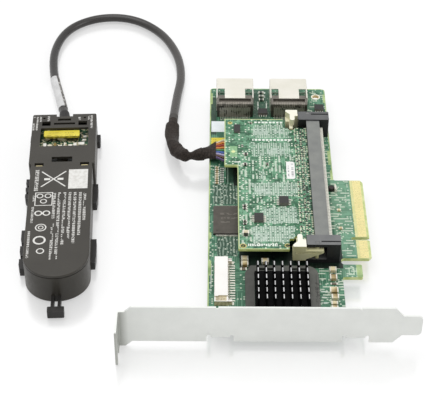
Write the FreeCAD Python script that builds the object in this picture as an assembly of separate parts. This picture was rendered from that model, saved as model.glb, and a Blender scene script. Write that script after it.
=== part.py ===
import FreeCAD, Part
import math
import os

V = FreeCAD.Vector

# ======================================================================
# Driving dimensions, all in millimetres
# ======================================================================

# Mounting bracket, the standard full-height one, folded from one sheet
SHEET = 0.86                # sheet thickness
BRACKET_LENGTH = 120.02
BRACKET_WIDTH = 18.42
BRACKET_LEFT = 35.53        # from the board's left edge to the folded tab's outer face
NECK_DROP = 2.6             # how far the neck and tab sit below the plate's lower edge
NECK_LENGTH = 3.3
NECK_TAPER = 2.7
FOOT_WIDTH = 10.19
FOOT_LENGTH = 7.6
FOOT_TAPER = 3.4
FOOT_CORNER = 2.0
TAB_REACH = 11.43
TAB_BEND = 0.5              # inside radius of the fold
TAB_CORNER = 1.3
SCREW_SLOT_WIDTH = 4.42
SCREW_SLOT_CENTRE = 6.3     # from the bracket's outer face
SCREW_SLOT_DEPTH = 8.0      # to the centre of the round end
NICK_WIDTH = 0.9
NICK_DEPTH = 0.8
NICK_LEFT = 4.0
NICK_PITCH = 56.0

# Ears folded back from the bracket, under the board
EAR_WIDTH = 7.5
EAR_REACH = 9.2
EAR_BEND = 0.3
EAR_CORNER = 1.4
EAR_NOTCH = 1.6
EAR_NOTCH_RISE = 1.1        # notch's round centre above the ear's underside
EAR_LEFT = 5.25             # centre of the left ear from the board's left edge
EAR_FROM_HEEL = 4.7         # centre of the right ear, in from the heel strip's right side
EAR_SCREW_IN = 5.4          # screw centre from the bracket's outer face
SCREW_R = 1.5
SCREW_HOLE_R = 1.6
EAR_HOLE_R = 1.55
SCREW_HEAD_R = 2.75
SCREW_HEAD_H = 1.7
SCREW_TIP = 0.5             # how far the screw shows under the ear

# Main circuit board
BOARD_LIFT = 2.54           # underside above the bracket plate's lower edge
BOARD_T = 1.57
BOARD_WIDTH = 55.85
BOARD_LENGTH = 167.65
BOARD_CORNER = 1.8
HEEL_OUT = 7.65             # wider strip behind the bracket, for the second screw
HEEL_LENGTH = 10.0
TAB_START = 32.35           # small locating tab, from the board's near edge
TAB_LENGTH = 7.7
TAB_OUT = 8.45
TONGUE_START = 43.95        # card-edge tongue, from the board's near edge
TONGUE_OUT = 13.05
KEY_FIRST = 11.65           # first run of the tongue, to the key
KEY_WIDTH = 1.9
KEY_DEPTH = 7.8
KEY_SECOND = 38.65
TONGUE_CHAMFER = 1.2
TONGUE_BEVEL = 1.1
BEVEL_DEPTH = 0.4
PAD_PITCH = 1.0
PAD_WIDTH = 0.7
PAD_LENGTH = 4.3
PAD_INSET = 0.65
PAD_T = 0.05
CORNER_HOLE_R = 1.6
CORNER_HOLE_X = 4.65        # in from the right edge
CORNER_HOLE_Y = 6.8         # in from the far edge
RING_R = 2.2
RING_T = 0.05

# Two right-angle cable ports
PORT_MARGIN_SHARE = 0.14815  # of the board's width that the ports leave free
PORT_GAP_SHARE = 0.39012
PORT_WIDTH = 17.8
PORT_HEIGHT = 8.0
PORT_SHEET = 0.3
PORT_CORNER = 0.6
PORT_SETBACK = 2.9          # mouth, in from the board's far edge
PORT_DEPTH = 15.9
PORT_RING = 8.6             # closed part behind the mouth
PORT_SILL = 1.2             # floor left at the mouth
PORT_TONGUE = 9.7
PORT_TONGUE_REACH = 5.7
PORT_FOOT = 1.8
PEG_WIDTH = 1.2
PEG_FIRST = 3.6             # first peg from the cage's back
PEG_PITCH = 8.6
PEG_DROP = 0.5
PEG_CLEAR = 0.1
HOUSING_OUT = 4.8           # plastic behind the cage's back
HOUSING_IN = 2.5
HOUSING_HEIGHT = 7.5
HOUSING_CLEAR = 0.05
RECESS_START = 1.8
RECESS_LENGTH = 2.8
RECESS_DEPTH = 1.2
CONTACT_COUNT = 18
CONTACT_PITCH = 0.8
CONTACT_WIDTH = 0.34
GROOVE_WIDTH = 0.44
GROOVE_DEPTH = 0.5
GROOVE_RISE = 0.6
GROOVE_TOP = 1.1
TAIL_REACH = 2.6
TAIL_T = 0.22
TAIL_RISE = 5.2
NOSE_WIDTH = 9.6
NOSE_LENGTH = 7.5
NOSE_HEIGHT = 3.5
NOSE_LIFT = 2.2
NOSE_SLOT = 1.2
NOSE_SLOT_WIDTH = 8.4
NOSE_SLOT_DEPTH = 5.5

# Right-angle socket for the plug-in module, alike at both ends
SOCKET_INSET = 0.55         # right side, in from the board's right edge
BLOCK_WIDTH = 14.2
BLOCK_LENGTH = 6.3
BLOCK_HEIGHT = 9.99
BLOCK_START = 41.14         # first block, from the board's near edge
SOCKET_FAR = 32.71          # second block, from the board's far edge
BLOCK_CORNER = 0.5
BAR_INSET = 4.6             # bar's right side, in from the blocks' right side
BAR_WIDTH = 6.0
BAR_HEIGHT = 9.49
LATCH_SLOT_LENGTH = 8.4
LATCH_SLOT_WIDTH = 4.6
LATCH_SLOT_LIFT = 1.9
LATCH_SLOT_HEIGHT = 6.6
RIB_GROOVE = 0.9
RIB_GROOVE_IN = 1.55
RIB_GROOVE_DEPTH = 0.5
MODULE_SLOT_DEPTH = 4.8
MODULE_SLOT_CLEAR = 0.05
STRIP_FREE = 4.7            # length of the bar without strips
STRIP_PITCH = 1.0
STRIP_WIDTH = 0.72
STRIP_REACH = 1.5
STRIP_T = 0.25
STRIP_EXIT = 7.4            # where the tails leave the bar, above the board
STRIP_FOOT = 0.6

# Latches that turn on pins in the socket's blocks
PIVOT_X = 4.4               # pin, in from the block's left side
PIVOT_Y = 1.3               # pin, in from the block's outer side
PIVOT_R = 0.9
PIVOT_CLEAR = 0.08
PIVOT_SEAT = 1.2            # depth of the pin's blind hole under the slot
LATCH_GAP = 0.3             # latch body to the block's left side
LATCH_WIDTH = 5.5
LATCH_OUT = 1.3             # how far it stands out past the block
LATCH_DEPTH = 4.7
LATCH_LIFT = 2.29           # underside above the board
LATCH_BODY_H = 4.4
LATCH_TOP_H = 3.3
ARM_LENGTH = 7.1            # arm from the block's left side into the slot
ARM_DEPTH = 4.0
ARM_UNDER = 0.6             # arm's lower edge at its root, above the body's underside
ARM_RISE = 3.6              # how much that edge climbs to the arm's end
ARM_TOP = 5.3               # arm's top above the body's underside
FIN_LEFT = 1.9
FIN_WIDTH = 2.2
FIN_REACH = 3.3
LATCH_STEP_X = 2.1
LATCH_STEP_Y = 1.3
HOOK_LEFT = 1.7
HOOK_WIDTH = 1.6
HOOK_REACH = 5.0
HOOK_T = 1.4
GRIP_GROOVE = 0.5

# Plug-in module
MODULE_LIFT = 5.09          # underside above the main board
MODULE_T = 1.2
MODULE_WIDTH = 42.3
MODULE_OVER = 1.1           # end edges, in from the blocks' outer sides
MODULE_STEP_X = 5.8
MODULE_STEP_FAR = 35.1      # from the module's far edge
SHOULDER = 1.6              # edge in the socket, in from the blocks' inner sides
CUTOUT_WIDTH = 15.1
HOOK_NOTCH_R = 1.7
MODULE_END_CLEAR = 0.3      # inserted edge to the slot's end
SMALL_HOLE_R = 0.5
MEMORY_WIDTH = 18.4
MEMORY_LENGTH = 9.6
MEMORY_T = 1.1
MEMORY_IN = 0.8             # clear strip to the module's nearest edge
MEMORY_PLACES = (0.0884, 0.2249, 0.4269, 0.7413, 0.8985)   # along the module, as parts of it
PASSIVE_PLACES = (            # across and along the module, length, width and height
    (7.9, 0.168, 1.6, 0.9, 0.6), (7.9, 0.188, 1.6, 0.9, 0.6), (7.8, 0.280, 1.8, 1.0, 0.6),
    (7.8, 0.300, 1.8, 1.0, 0.6), (8.4, 0.610, 1.8, 1.4, 0.9), (8.6, 0.692, 2.0, 1.4, 0.9),
    (18.5, 0.615, 1.2, 1.2, 0.9), (11.7, 0.955, 1.0, 1.0, 0.7), (7.7, 0.760, 0.8, 1.6, 0.6),
    (7.6, 0.0895, 2.8, 2.2, 1.6),
)
ROW_COUNT = 24              # rows of small resistors beside the socket
ROW_PITCH = 3.0
CHIP_ONE = 0.3341
CHIP_TWO = 0.2118
MODULE_LABEL = 0.5797       # label's middle
MODULE_LABEL_LENGTH = 12.4
GOLD_PITCH = 1.0
GOLD_WIDTH = 0.6
GOLD_LENGTH = 4.0
GOLD_FREE = 3.5             # length of the inserted edge without pads

# Wire socket and plug, under the module's left edge
WIRE_COUNT = 9
WIRE_PITCH = 1.85
WIRE_R = 0.6
SOCKET_WALL = 0.8
PLUG_HEIGHT = 2.4
PLUG_LENGTH = 5.0
PLUG_OUT = 0.1              # plug's rear, inside the module's left edge
PLUG_CLEAR = 0.1
WIRE_SOCKET_FAR = 20.0      # centre, from the module's far edge
WIRE_SOCKET_LENGTH = 6.0

# Controller chip, its heatsink and the frame round it
SINK_OFF = 2.575            # centre, right of the board's middle
SINK_Y = 21.84              # centre from the board's near edge
CHIP_SIDE = 19.0
CHIP_H = 1.1
PAD_LAYER = 0.2
SINK_SIDE = 22.2
SINK_BASE = 1.4
SINK_HEIGHT = 7.0           # base's underside to the pins' tops
PIN_COLUMNS = 7
PIN_ROWS = 6
PIN_PITCH_X = 3.35
PIN_PITCH_Y = 3.94
PIN_WIDTH = 0.9
PIN_LENGTH = 2.3
FRAME_SIDE = 30.2
FRAME_CLEAR = 0.2
FRAME_H = 2.0
FRAME_R = 5.0
FRAME_NEAR_R = 3.0
FRAME_CHAMFER_X = 2.2
FRAME_CHAMFER_Y = 4.2
FRAME_SLOT = 1.4
FRAME_SLOT_LENGTH = 6.8
FRAME_SLOT_IN = 1.5
FRAME_SLOT_PITCH = 13.8
FRAME_LIP = 0.8
FRAME_LIP_H = 0.3

# Small side-entry connector at the left edge
SIDE_LEFT = 2.8
SIDE_START = 14.84          # from the board's near edge
SIDE_LENGTH = 26.5
SIDE_DEPTH = 5.6
SIDE_HEIGHT = 3.2
SIDE_WALL = 0.7
SIDE_MOUTH = 4.2
SIDE_PITCH = 1.5
SIDE_PIN_WIDTH = 0.6
SIDE_END_FREE = 2.6         # pins stop short of the body's ends by this
SIDE_TAIL = 2.9
SIDE_NAIL = 2.0
SIDE_EAR = 1.6
SIDE_EAR_H = 2.1
SIDE_STEP = 2.9             # lower step at the near end
SIDE_STEP_H = 0.6

# Flash chip with leads on its two ends
FLASH_X = 2.1
FLASH_Y = 58.14
FLASH_WIDTH = 14.0
FLASH_LENGTH = 18.4
FLASH_T = 1.0
FLASH_LIFT = 0.1
LEAD_COUNT = 24
LEAD_PITCH = 0.5
LEAD_WIDTH = 0.22
LEAD_REACH = 0.9
LEAD_H = 0.5

# Eight-lead driver chips
DRIVER_LENGTH = 4.3
DRIVER_WIDTH = 3.9
DRIVER_T = 1.5
DRIVER_PITCH = 1.1
DRIVER_LEAD = 0.42
DRIVER_REACH = 1.1

# Small passives
CAP_LENGTH = 3.0
CAP_WIDTH = 2.4
CAP_H = 1.5
RESISTOR_LENGTH = 1.9
RESISTOR_WIDTH = 0.95
RESISTOR_H = 0.45
RESISTOR_PITCH = 1.6
RESISTOR_COUNT = 8
INDUCTOR_R = 1.4
INDUCTOR_H = 1.8
RESISTOR_SHARE = 0.49       # of the way from the flash chip to the nearer sticker
STICKER_T = 0.1
STICKER_LENGTHS = (8.4, 4.8)
STICKER_FAR = (27.25, 40.25)    # from the board's far edge
STICKER_OVER = 3.1          # how far the stickers run in under the module

# Battery case, in its own frame: u across, v along, from the round end's centre
CASE_X = -62.6
CASE_Y = 38.0
CASE_TURN = 3.0             # degrees
CASE_R = 13.65
CASE_NEAR = 60.5
CASE_FAR_LENGTH = 37.7
CASE_FAR_WIDTH = 29.5
CASE_CORNER = 0.8
CASE_H = 14.5
CASE_WALL = 1.3
CASE_FLOOR = 1.2
LID_T = 1.1
LID_EDGE = 0.45
SEAM = 0.35
CELL_CLEAR = 2.45           # between the second cells and the case's step
CELL_WIDTH = 24.1
CELL_T = 5.8
CELL_EDGE = 0.8
CELL_GAP = 0.6
STRAP_WIDTH = 5.0
STRAP_T = 0.15
WINDOW_LEFT = -10.6
WINDOW_RIGHT = 11.3
WINDOW_IN = 13.1            # from the case's step
WINDOW_LENGTH = 13.7
GAUGE_LEFT = -9.25
GAUGE_WIDTH = 16.5
GAUGE_LENGTH = 4.6
GAUGE_T = 1.2
GAUGE_FOOT = 0.6            # its base, in from its sides
CASE_BOARD_Z = 9.2
CASE_BOARD_T = 1.0
POST_R = 1.2
NOTCH_HALF = 3.8            # notch over the cable's exit
CLIP_OUT = 2.2
CLIP_OUT_LEFT = 2.8
CLIP_LOW = 1.0
CLIP_H = 4.0
TIE_STEM = 6.5
TIE_STEM_WIDTH = 4.1
TIE_RAIL = 1.3
TIE_BAR_WIDTH = 6.9
TIE_BAR = 3.3
TIE_H = 4.0

# Cable from the battery to the module
CABLE_D = 4.2
CABLE_ROUTE = (
    (-69.3, 145.9, 7.0), (-73.2, 163.6, 4.6), (-78.5, 184.7, 2.4), (-80.9, 207.8, 2.2),
    (-75.5, 228.9, 2.2), (-60.7, 240.3, 2.2), (-42.0, 240.1, 2.2), (-26.2, 226.5, 2.2),
    (-17.1, 206.4, 2.2), (-14.2, 185.8, 2.2), (-16.6, 166.1, 2.4), (-17.5, 148.6, 3.3),
)
ROUTE_CASE = 98.2           # case end and plug for which the route is given
ROUTE_PLUG = (7.0, 115.0)
RELIEF_D = 5.8
RELIEF_TIP = 4.8
RELIEF_FLANGE = 8.0
SLEEVE_D = 5.6
SLEEVE_START = 15.0         # first run, straight on from the cable
SLEEVE_ROUTE = (
    (-16.3, 121.5, 6.0), (-13.0, 115.0, 7.4), (-8.4, 111.9, 8.4), (-3.0, 113.3, 9.0),
)
SLEEVE_FLAT = 2.4           # flattened end of the sleeve
SLEEVE_MOUTH = 12.2
SLEEVE_END = 4.0            # sleeve's mouth to the plug
LABEL_START = 5.2
LABEL_LENGTH = 31.0
LABEL_T = 0.2
LABEL_CLEAR = 0.05

# ======================================================================
# Levels and shared places, from the values above
# ======================================================================
BOARD_BOTTOM = NECK_DROP + BOARD_LIFT
HEEL_WIDTH = BOARD_WIDTH + HEEL_OUT
BOARD_TOP = BOARD_BOTTOM + BOARD_T
BOARD_NEAR = SHEET + EAR_BEND
BOARD_END = BOARD_NEAR + BOARD_LENGTH
TONGUE_Y0 = BOARD_NEAR + TONGUE_START
KEY_Y0 = TONGUE_Y0 + KEY_FIRST
KEY_Y1 = KEY_Y0 + KEY_WIDTH
TONGUE_Y1 = KEY_Y1 + KEY_SECOND
TONGUE_X = BOARD_WIDTH + TONGUE_OUT
PORT_FREE = BOARD_WIDTH - 2 * PORT_WIDTH
PORT_LEFT = PORT_FREE * PORT_MARGIN_SHARE
PORT_PITCH = PORT_WIDTH + PORT_FREE * PORT_GAP_SHARE
PORT_MOUTH = BOARD_END - PORT_SETBACK
PORT_BACK = PORT_MOUTH - PORT_DEPTH
PORT_WING = PORT_MOUTH - PORT_RING
PORT_TOP = BOARD_TOP + PORT_HEIGHT
HOUSING_Y0 = PORT_BACK - HOUSING_OUT
HOUSING_Y1 = PORT_BACK + HOUSING_IN
BLOCK_X1 = BOARD_WIDTH - SOCKET_INSET
BLOCK_X0 = BLOCK_X1 - BLOCK_WIDTH
BLOCK_Y0 = BOARD_NEAR + BLOCK_START
BLOCK_Y1 = BLOCK_Y0 + BLOCK_LENGTH
BLOCK_TOP = BOARD_TOP + BLOCK_HEIGHT
SOCKET_END = BOARD_END - SOCKET_FAR
SOCKET_LENGTH = SOCKET_END - BLOCK_Y0
STRIP_COUNT = int((SOCKET_LENGTH - 2 * BLOCK_LENGTH - STRIP_FREE) / STRIP_PITCH)
SOCKET_MID = BLOCK_Y0 + SOCKET_LENGTH / 2
BAR_X1 = BLOCK_X1 - BAR_INSET
BAR_X0 = BAR_X1 - BAR_WIDTH
BAR_TOP = BOARD_TOP + BAR_HEIGHT
MODULE_Z0 = BOARD_TOP + MODULE_LIFT
MODULE_Z1 = MODULE_Z0 + MODULE_T
MODULE_X1 = BAR_X0 + MODULE_SLOT_DEPTH - MODULE_END_CLEAR
MODULE_X0 = MODULE_X1 - MODULE_WIDTH
MODULE_Y0 = BLOCK_Y0 + MODULE_OVER
MODULE_Y1 = SOCKET_END - MODULE_OVER
MODULE_LENGTH = MODULE_Y1 - MODULE_Y0
MODULE_STEP = MODULE_Y1 - MODULE_STEP_FAR
CUTOUT_X = MODULE_X1 - CUTOUT_WIDTH
SHOULDER_Y0 = BLOCK_Y1 + SHOULDER
SHOULDER_Y1 = SOCKET_END - BLOCK_LENGTH - SHOULDER
GOLD_COUNT = int((SHOULDER_Y1 - SHOULDER_Y0 - GOLD_FREE) / GOLD_PITCH)
PIN_X = BLOCK_X0 + PIVOT_X
PIN_Y = BLOCK_Y0 + PIVOT_Y
LATCH_X1 = BLOCK_X0 - LATCH_GAP
LATCH_X0 = LATCH_X1 - LATCH_WIDTH
LATCH_Y0 = BLOCK_Y0 - LATCH_OUT
LATCH_Z0 = BOARD_TOP + LATCH_LIFT
LATCH_Z1 = LATCH_Z0 + LATCH_BODY_H
HOOK_X = LATCH_X0 + HOOK_LEFT + HOOK_WIDTH / 2
SLOT_Z0 = BOARD_TOP + LATCH_SLOT_LIFT
SLOT_Z1 = SLOT_Z0 + LATCH_SLOT_HEIGHT
SINK_X = BOARD_WIDTH / 2 + SINK_OFF
SINK_CY = BOARD_NEAR + SINK_Y
SINK_Z0 = BOARD_TOP + CHIP_H + PAD_LAYER
SINK_TOP = SINK_Z0 + SINK_HEIGHT
PLUG_Y = MODULE_Y1 - WIRE_SOCKET_FAR
PLUG_Z1 = MODULE_Z0 - SOCKET_WALL
PLUG_Z0 = PLUG_Z1 - PLUG_HEIGHT
PLUG_X0 = MODULE_X0 + PLUG_OUT
PLUG_WIDTH = WIRE_PITCH * WIRE_COUNT
SLEEVE_END_X = PLUG_X0 - SLEEVE_END
LID_Z = CASE_H - LID_T
CASE_FAR = CASE_NEAR + CASE_FAR_LENGTH
WINDOW_START = CASE_NEAR + WINDOW_IN
CELL_LENGTH = (CASE_NEAR - CASE_WALL - CELL_CLEAR + CELL_WIDTH / 2 - CELL_GAP) / 2

NODES = {}


# ======================================================================
# Helpers
# ======================================================================
def box(x0, x1, y0, y1, z0, z1):
    return Part.makeBox(x1 - x0, y1 - y0, z1 - z0, V(x0, y0, z0))


def rod(x, y, z0, z1, r):
    return Part.makeCylinder(r, z1 - z0, V(x, y, z0))


def outline(points):
    """Closed outline in the XY plane. A point is (x, y) or (x, y, corner radius)."""
    count = len(points)
    starts = []
    ends = []
    middles = []
    for i in range(count):
        here = V(points[i][0], points[i][1], 0)
        radius = points[i][2] if len(points[i]) > 2 else 0.0
        before = V(points[i - 1][0], points[i - 1][1], 0) - here
        after = V(points[(i + 1) % count][0], points[(i + 1) % count][1], 0) - here
        if radius <= 0:
            starts.append(here)
            ends.append(here)
            middles.append(None)
            continue
        before.normalize()
        after.normalize()
        half = before.getAngle(after) / 2
        cut = radius / math.tan(half)
        inward = before + after
        inward.normalize()
        centre = here + inward * (radius / math.sin(half))
        starts.append(here + before * cut)
        ends.append(here + after * cut)
        middles.append(centre - inward * radius)
    edges = []
    for i in range(count):
        if middles[i] is not None:
            edges.append(Part.Arc(starts[i], middles[i], ends[i]).toShape())
        nearby = starts[(i + 1) % count]
        if (nearby - ends[i]).Length > 1e-6:
            edges.append(Part.LineSegment(ends[i], nearby).toShape())
    return Part.Wire(edges)


def plate(points, z0, z1):
    """Outline in X and Y, extruded along Z."""
    face = Part.Face(outline(points))
    face.translate(V(0, 0, z0))
    return face.extrude(V(0, 0, z1 - z0))


def slab_y(points, y0, y1):
    """Outline in X and Z, extruded along Y."""
    face = Part.Face(outline(points))
    turn = FreeCAD.Rotation(V(1, 0, 0), V(0, 0, 1), V(0, -1, 0))
    face.Placement = FreeCAD.Placement(V(0, y0, 0), turn)
    return face.extrude(V(0, y1 - y0, 0))


def slab_x(points, x0, x1):
    """Outline in Y and Z, extruded along X."""
    face = Part.Face(outline(points))
    turn = FreeCAD.Rotation(V(0, 1, 0), V(0, 0, 1), V(1, 0, 0))
    face.Placement = FreeCAD.Placement(V(x0, 0, 0), turn)
    return face.extrude(V(x1 - x0, 0, 0))


def fuse(shapes):
    whole = shapes[0].multiFuse(shapes[1:]) if len(shapes) > 1 else shapes[0]
    whole = whole.removeSplitter()
    if len(whole.Solids) == 1:
        return whole.Solids[0]
    return whole


def cut(shape, tools):
    left = shape.cut(Part.makeCompound(tools))
    left = left.removeSplitter()
    if len(left.Solids) == 1:
        return left.Solids[0]
    return left


def flip(shape):
    """The same shape at the socket's other end."""
    return shape.mirror(V(0, SOCKET_MID, 0), V(0, 1, 0))


def spread(count, pitch, middle):
    """Evenly spaced places about a middle."""
    first = middle - pitch * (count - 1) / 2
    return [first + pitch * i for i in range(count)]


def round_edges(shape, radius, keep):
    edges = [e for e in shape.Edges if keep(e.BoundBox)]
    return shape.makeFillet(radius, edges) if edges else shape


def save(name, shapes):
    if not isinstance(shapes, (list, tuple)):
        shapes = [shapes]
    solids = []
    for shape in shapes:
        solids.extend(shape.Solids)
    NODES[name] = solids


# ======================================================================
# Cord helpers
# ======================================================================
def cord_path(points):
    """Straight runs joined by tangent arcs, each as large as its runs allow."""
    points = [V(*p) for p in points]
    edges = []
    radii = []
    here = points[0]
    for i in range(1, len(points) - 1):
        before = points[i - 1] - points[i]
        after = points[i + 1] - points[i]
        reach = 0.45 * min(before.Length, after.Length)
        before.normalize()
        after.normalize()
        half = before.getAngle(after) / 2
        radius = reach * math.tan(half)
        radii.append(radius)
        inward = before + after
        inward.normalize()
        middle = points[i] + inward * (reach / math.cos(half) - radius)
        start = points[i] + before * reach
        end = points[i] + after * reach
        edges.append(Part.LineSegment(here, start).toShape())
        edges.append(Part.Arc(start, middle, end).toShape())
        here = end
    edges.append(Part.LineSegment(here, points[-1]).toShape())
    return edges, radii


def part_of_path(edges, start, end):
    """The stretch of a path between two distances from its beginning."""
    kept = []
    gone = 0.0
    for edge in edges:
        a = max(start - gone, 0.0)
        b = min(end - gone, edge.Length)
        if b - a > 1e-4:
            first = edge.getParameterByLength(a)
            last = edge.getParameterByLength(b)
            kept.append(Part.Edge(edge.Curve, first, last))
        gone += edge.Length
    return kept


def tube(edges, radius):
    path = Part.Wire(edges)
    first = edges[0]
    begin = first.valueAt(first.FirstParameter)
    along = first.tangentAt(first.FirstParameter)
    ring = Part.Wire([Part.Circle(begin, along, radius).toShape()])
    pipe = path.makePipeShell([ring], True, False)
    return Part.Solid(pipe) if pipe.ShapeType != "Solid" else pipe


def report(name, edges, radii, diameter, solid):
    length = sum(e.Length for e in edges)
    section = math.pi * diameter ** 2 / 4
    print(name, "length %.1f" % length, "volume ratio %.4f" % (solid.Volume / (section * length)))
    print(name, "radii", " ".join("%.1f" % r for r in radii))


# ======================================================================
# Bracket and its screws
# ======================================================================
EARS = [EAR_LEFT, HEEL_WIDTH - EAR_FROM_HEEL]


def make_bracket():
    left = -BRACKET_LEFT
    neck = left + NECK_LENGTH
    full = neck + NECK_TAPER
    right = left + BRACKET_LENGTH
    foot = right - FOOT_LENGTH
    low = NECK_DROP
    top = NECK_DROP + BRACKET_WIDTH
    middle = NECK_DROP + BRACKET_WIDTH / 2
    foot0 = middle - FOOT_WIDTH / 2
    foot1 = middle + FOOT_WIDTH / 2
    face = slab_y([
        (neck, 0), (full, low, 0.8), (foot - FOOT_TAPER, low, 0.8), (foot, foot0, 0.5),
        (right, foot0, FOOT_CORNER), (right, foot1, FOOT_CORNER), (foot, foot1, 0.5),
        (foot - FOOT_TAPER, top, 0.8), (full, top, 0.8), (neck, BRACKET_WIDTH),
    ], 0, SHEET)
    fold = plate([
        (left, -TAB_REACH), (left + SHEET, -TAB_REACH), (left + SHEET, 0, TAB_BEND),
        (neck, 0), (neck, SHEET), (left, SHEET, TAB_BEND + SHEET),
    ], 0, BRACKET_WIDTH)
    trim = slab_x([
        (-TAB_REACH, 0, TAB_CORNER), (SHEET + 1, 0),
        (SHEET + 1, BRACKET_WIDTH), (-TAB_REACH, BRACKET_WIDTH, TAB_CORNER),
    ], left - 1, neck + 1)
    fold = fold.common(trim)
    tools = [
        box(left - 1, left + SHEET + 0.2, -SCREW_SLOT_CENTRE - SCREW_SLOT_WIDTH / 2,
            -SCREW_SLOT_CENTRE + SCREW_SLOT_WIDTH / 2, -1, SCREW_SLOT_DEPTH),
        Part.makeCylinder(SCREW_SLOT_WIDTH / 2, SHEET + 1.2,
                          V(left - 1, -SCREW_SLOT_CENTRE, SCREW_SLOT_DEPTH), V(1, 0, 0)),
    ]
    for x in (NICK_LEFT, NICK_LEFT + NICK_PITCH):
        tools.append(box(x - NICK_WIDTH / 2, x + NICK_WIDTH / 2, -1, SHEET + 1,
                         top - NICK_DEPTH, top + 1))
    under = BOARD_BOTTOM - SHEET
    rise = BOARD_BOTTOM + 1.6
    ears = []
    for x in EARS:
        x0 = x - EAR_WIDTH / 2
        x1 = x + EAR_WIDTH / 2
        tools.append(box(x0, x1, -1, SHEET + 1, low - 1, rise))
        for edge in (x0 - EAR_NOTCH, x1):
            tools.append(box(edge, edge + EAR_NOTCH, -1, SHEET + 1, low - 1,
                             under + EAR_NOTCH_RISE))
            tools.append(Part.makeCylinder(
                EAR_NOTCH / 2, SHEET + 2,
                V(edge + EAR_NOTCH / 2, -1, under + EAR_NOTCH_RISE), V(0, 1, 0)))
        ear = slab_x([
            (0, rise), (0, under, SHEET + EAR_BEND), (EAR_REACH, under),
            (EAR_REACH, BOARD_BOTTOM), (SHEET, BOARD_BOTTOM, EAR_BEND), (SHEET, rise),
        ], x0, x1)
        shape = plate([
            (x0, -1), (x1, -1), (x1, EAR_REACH, EAR_CORNER), (x0, EAR_REACH, EAR_CORNER),
        ], under - 1, rise + 1)
        ear = ear.common(shape)
        hole = rod(x, EAR_SCREW_IN, under - 1, BOARD_BOTTOM + 0.2, EAR_HOLE_R)
        ears.append(ear.cut(hole))
    sheet = fuse([face, fold])
    sheet = cut(sheet, tools)
    return fuse([sheet] + ears)


def pan_screw(x, y):
    head = rod(x, y, BOARD_TOP, BOARD_TOP + SCREW_HEAD_H, SCREW_HEAD_R)
    rim = BOARD_TOP + SCREW_HEAD_H - 0.01
    head = round_edges(head, SCREW_HEAD_H * 0.55, lambda b: b.ZMin > rim)
    shank = rod(x, y, BOARD_BOTTOM - SHEET - SCREW_TIP, BOARD_TOP, SCREW_R)
    screw = head.fuse(shank)
    deep = BOARD_TOP + SCREW_HEAD_H - 0.9
    high = BOARD_TOP + SCREW_HEAD_H + 1
    cross = [
        box(x - 1.5, x + 1.5, y - 0.35, y + 0.35, deep, high),
        box(x - 0.35, x + 0.35, y - 1.5, y + 1.5, deep, high),
    ]
    return cut(screw, cross)


save("bracket", make_bracket())
save("bracket_screws", [pan_screw(x, EAR_SCREW_IN) for x in EARS])

# ======================================================================
# Cable ports: cage, plastic housing and contacts
# ======================================================================
PORTS = [PORT_LEFT, PORT_LEFT + PORT_PITCH]
PORT_MID = (PORTS[0] + PORT_WIDTH + PORTS[1]) / 2
PEGS = [PORT_BACK + PEG_FIRST, PORT_BACK + PEG_FIRST + PEG_PITCH]


def make_cage(x0):
    x1 = x0 + PORT_WIDTH
    mid = x0 + PORT_WIDTH / 2
    s = PORT_SHEET
    outer = slab_y([
        (x0, BOARD_TOP, PORT_CORNER), (x1, BOARD_TOP, PORT_CORNER),
        (x1, PORT_TOP, PORT_CORNER), (x0, PORT_TOP, PORT_CORNER),
    ], PORT_BACK, PORT_MOUTH)
    inner = slab_y([
        (x0 + s, BOARD_TOP + s, PORT_CORNER - s), (x1 - s, BOARD_TOP + s, PORT_CORNER - s),
        (x1 - s, PORT_TOP - s, PORT_CORNER - s), (x0 + s, PORT_TOP - s, PORT_CORNER - s),
    ], PORT_BACK - 1, PORT_MOUTH + 1)
    half = PORT_TONGUE / 2
    reach = PORT_WING - PORT_TONGUE_REACH
    cuts = [
        inner,
        box(x0 + PORT_CORNER, mid - half, PORT_BACK - 1, PORT_WING, PORT_TOP - 1, PORT_TOP + 1),
        box(mid + half, x1 - PORT_CORNER, PORT_BACK - 1, PORT_WING, PORT_TOP - 1, PORT_TOP + 1),
        box(mid - half, mid + half, PORT_BACK - 1, reach, PORT_TOP - 1, PORT_TOP + 1),
        box(x0 + s, x1 - s, PORT_BACK - 1, PORT_MOUTH - PORT_SILL, BOARD_TOP - 1,
            BOARD_TOP + PORT_CORNER),
    ]
    cage = cut(outer, cuts)
    rest = BOARD_TOP + HOUSING_HEIGHT
    foot = slab_x([
        (reach, PORT_TOP), (reach, PORT_TOP - s), (reach - PORT_FOOT, rest),
        (reach - PORT_FOOT, rest + s),
    ], mid - half, mid + half)
    pieces = [cage, foot]
    for y in PEGS:
        for edge in (x0, x1 - s):
            pieces.append(box(edge, edge + s, y, y + PEG_WIDTH,
                              BOARD_BOTTOM - PEG_DROP, BOARD_TOP + PORT_CORNER + 0.5))
    return fuse(pieces)


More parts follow.
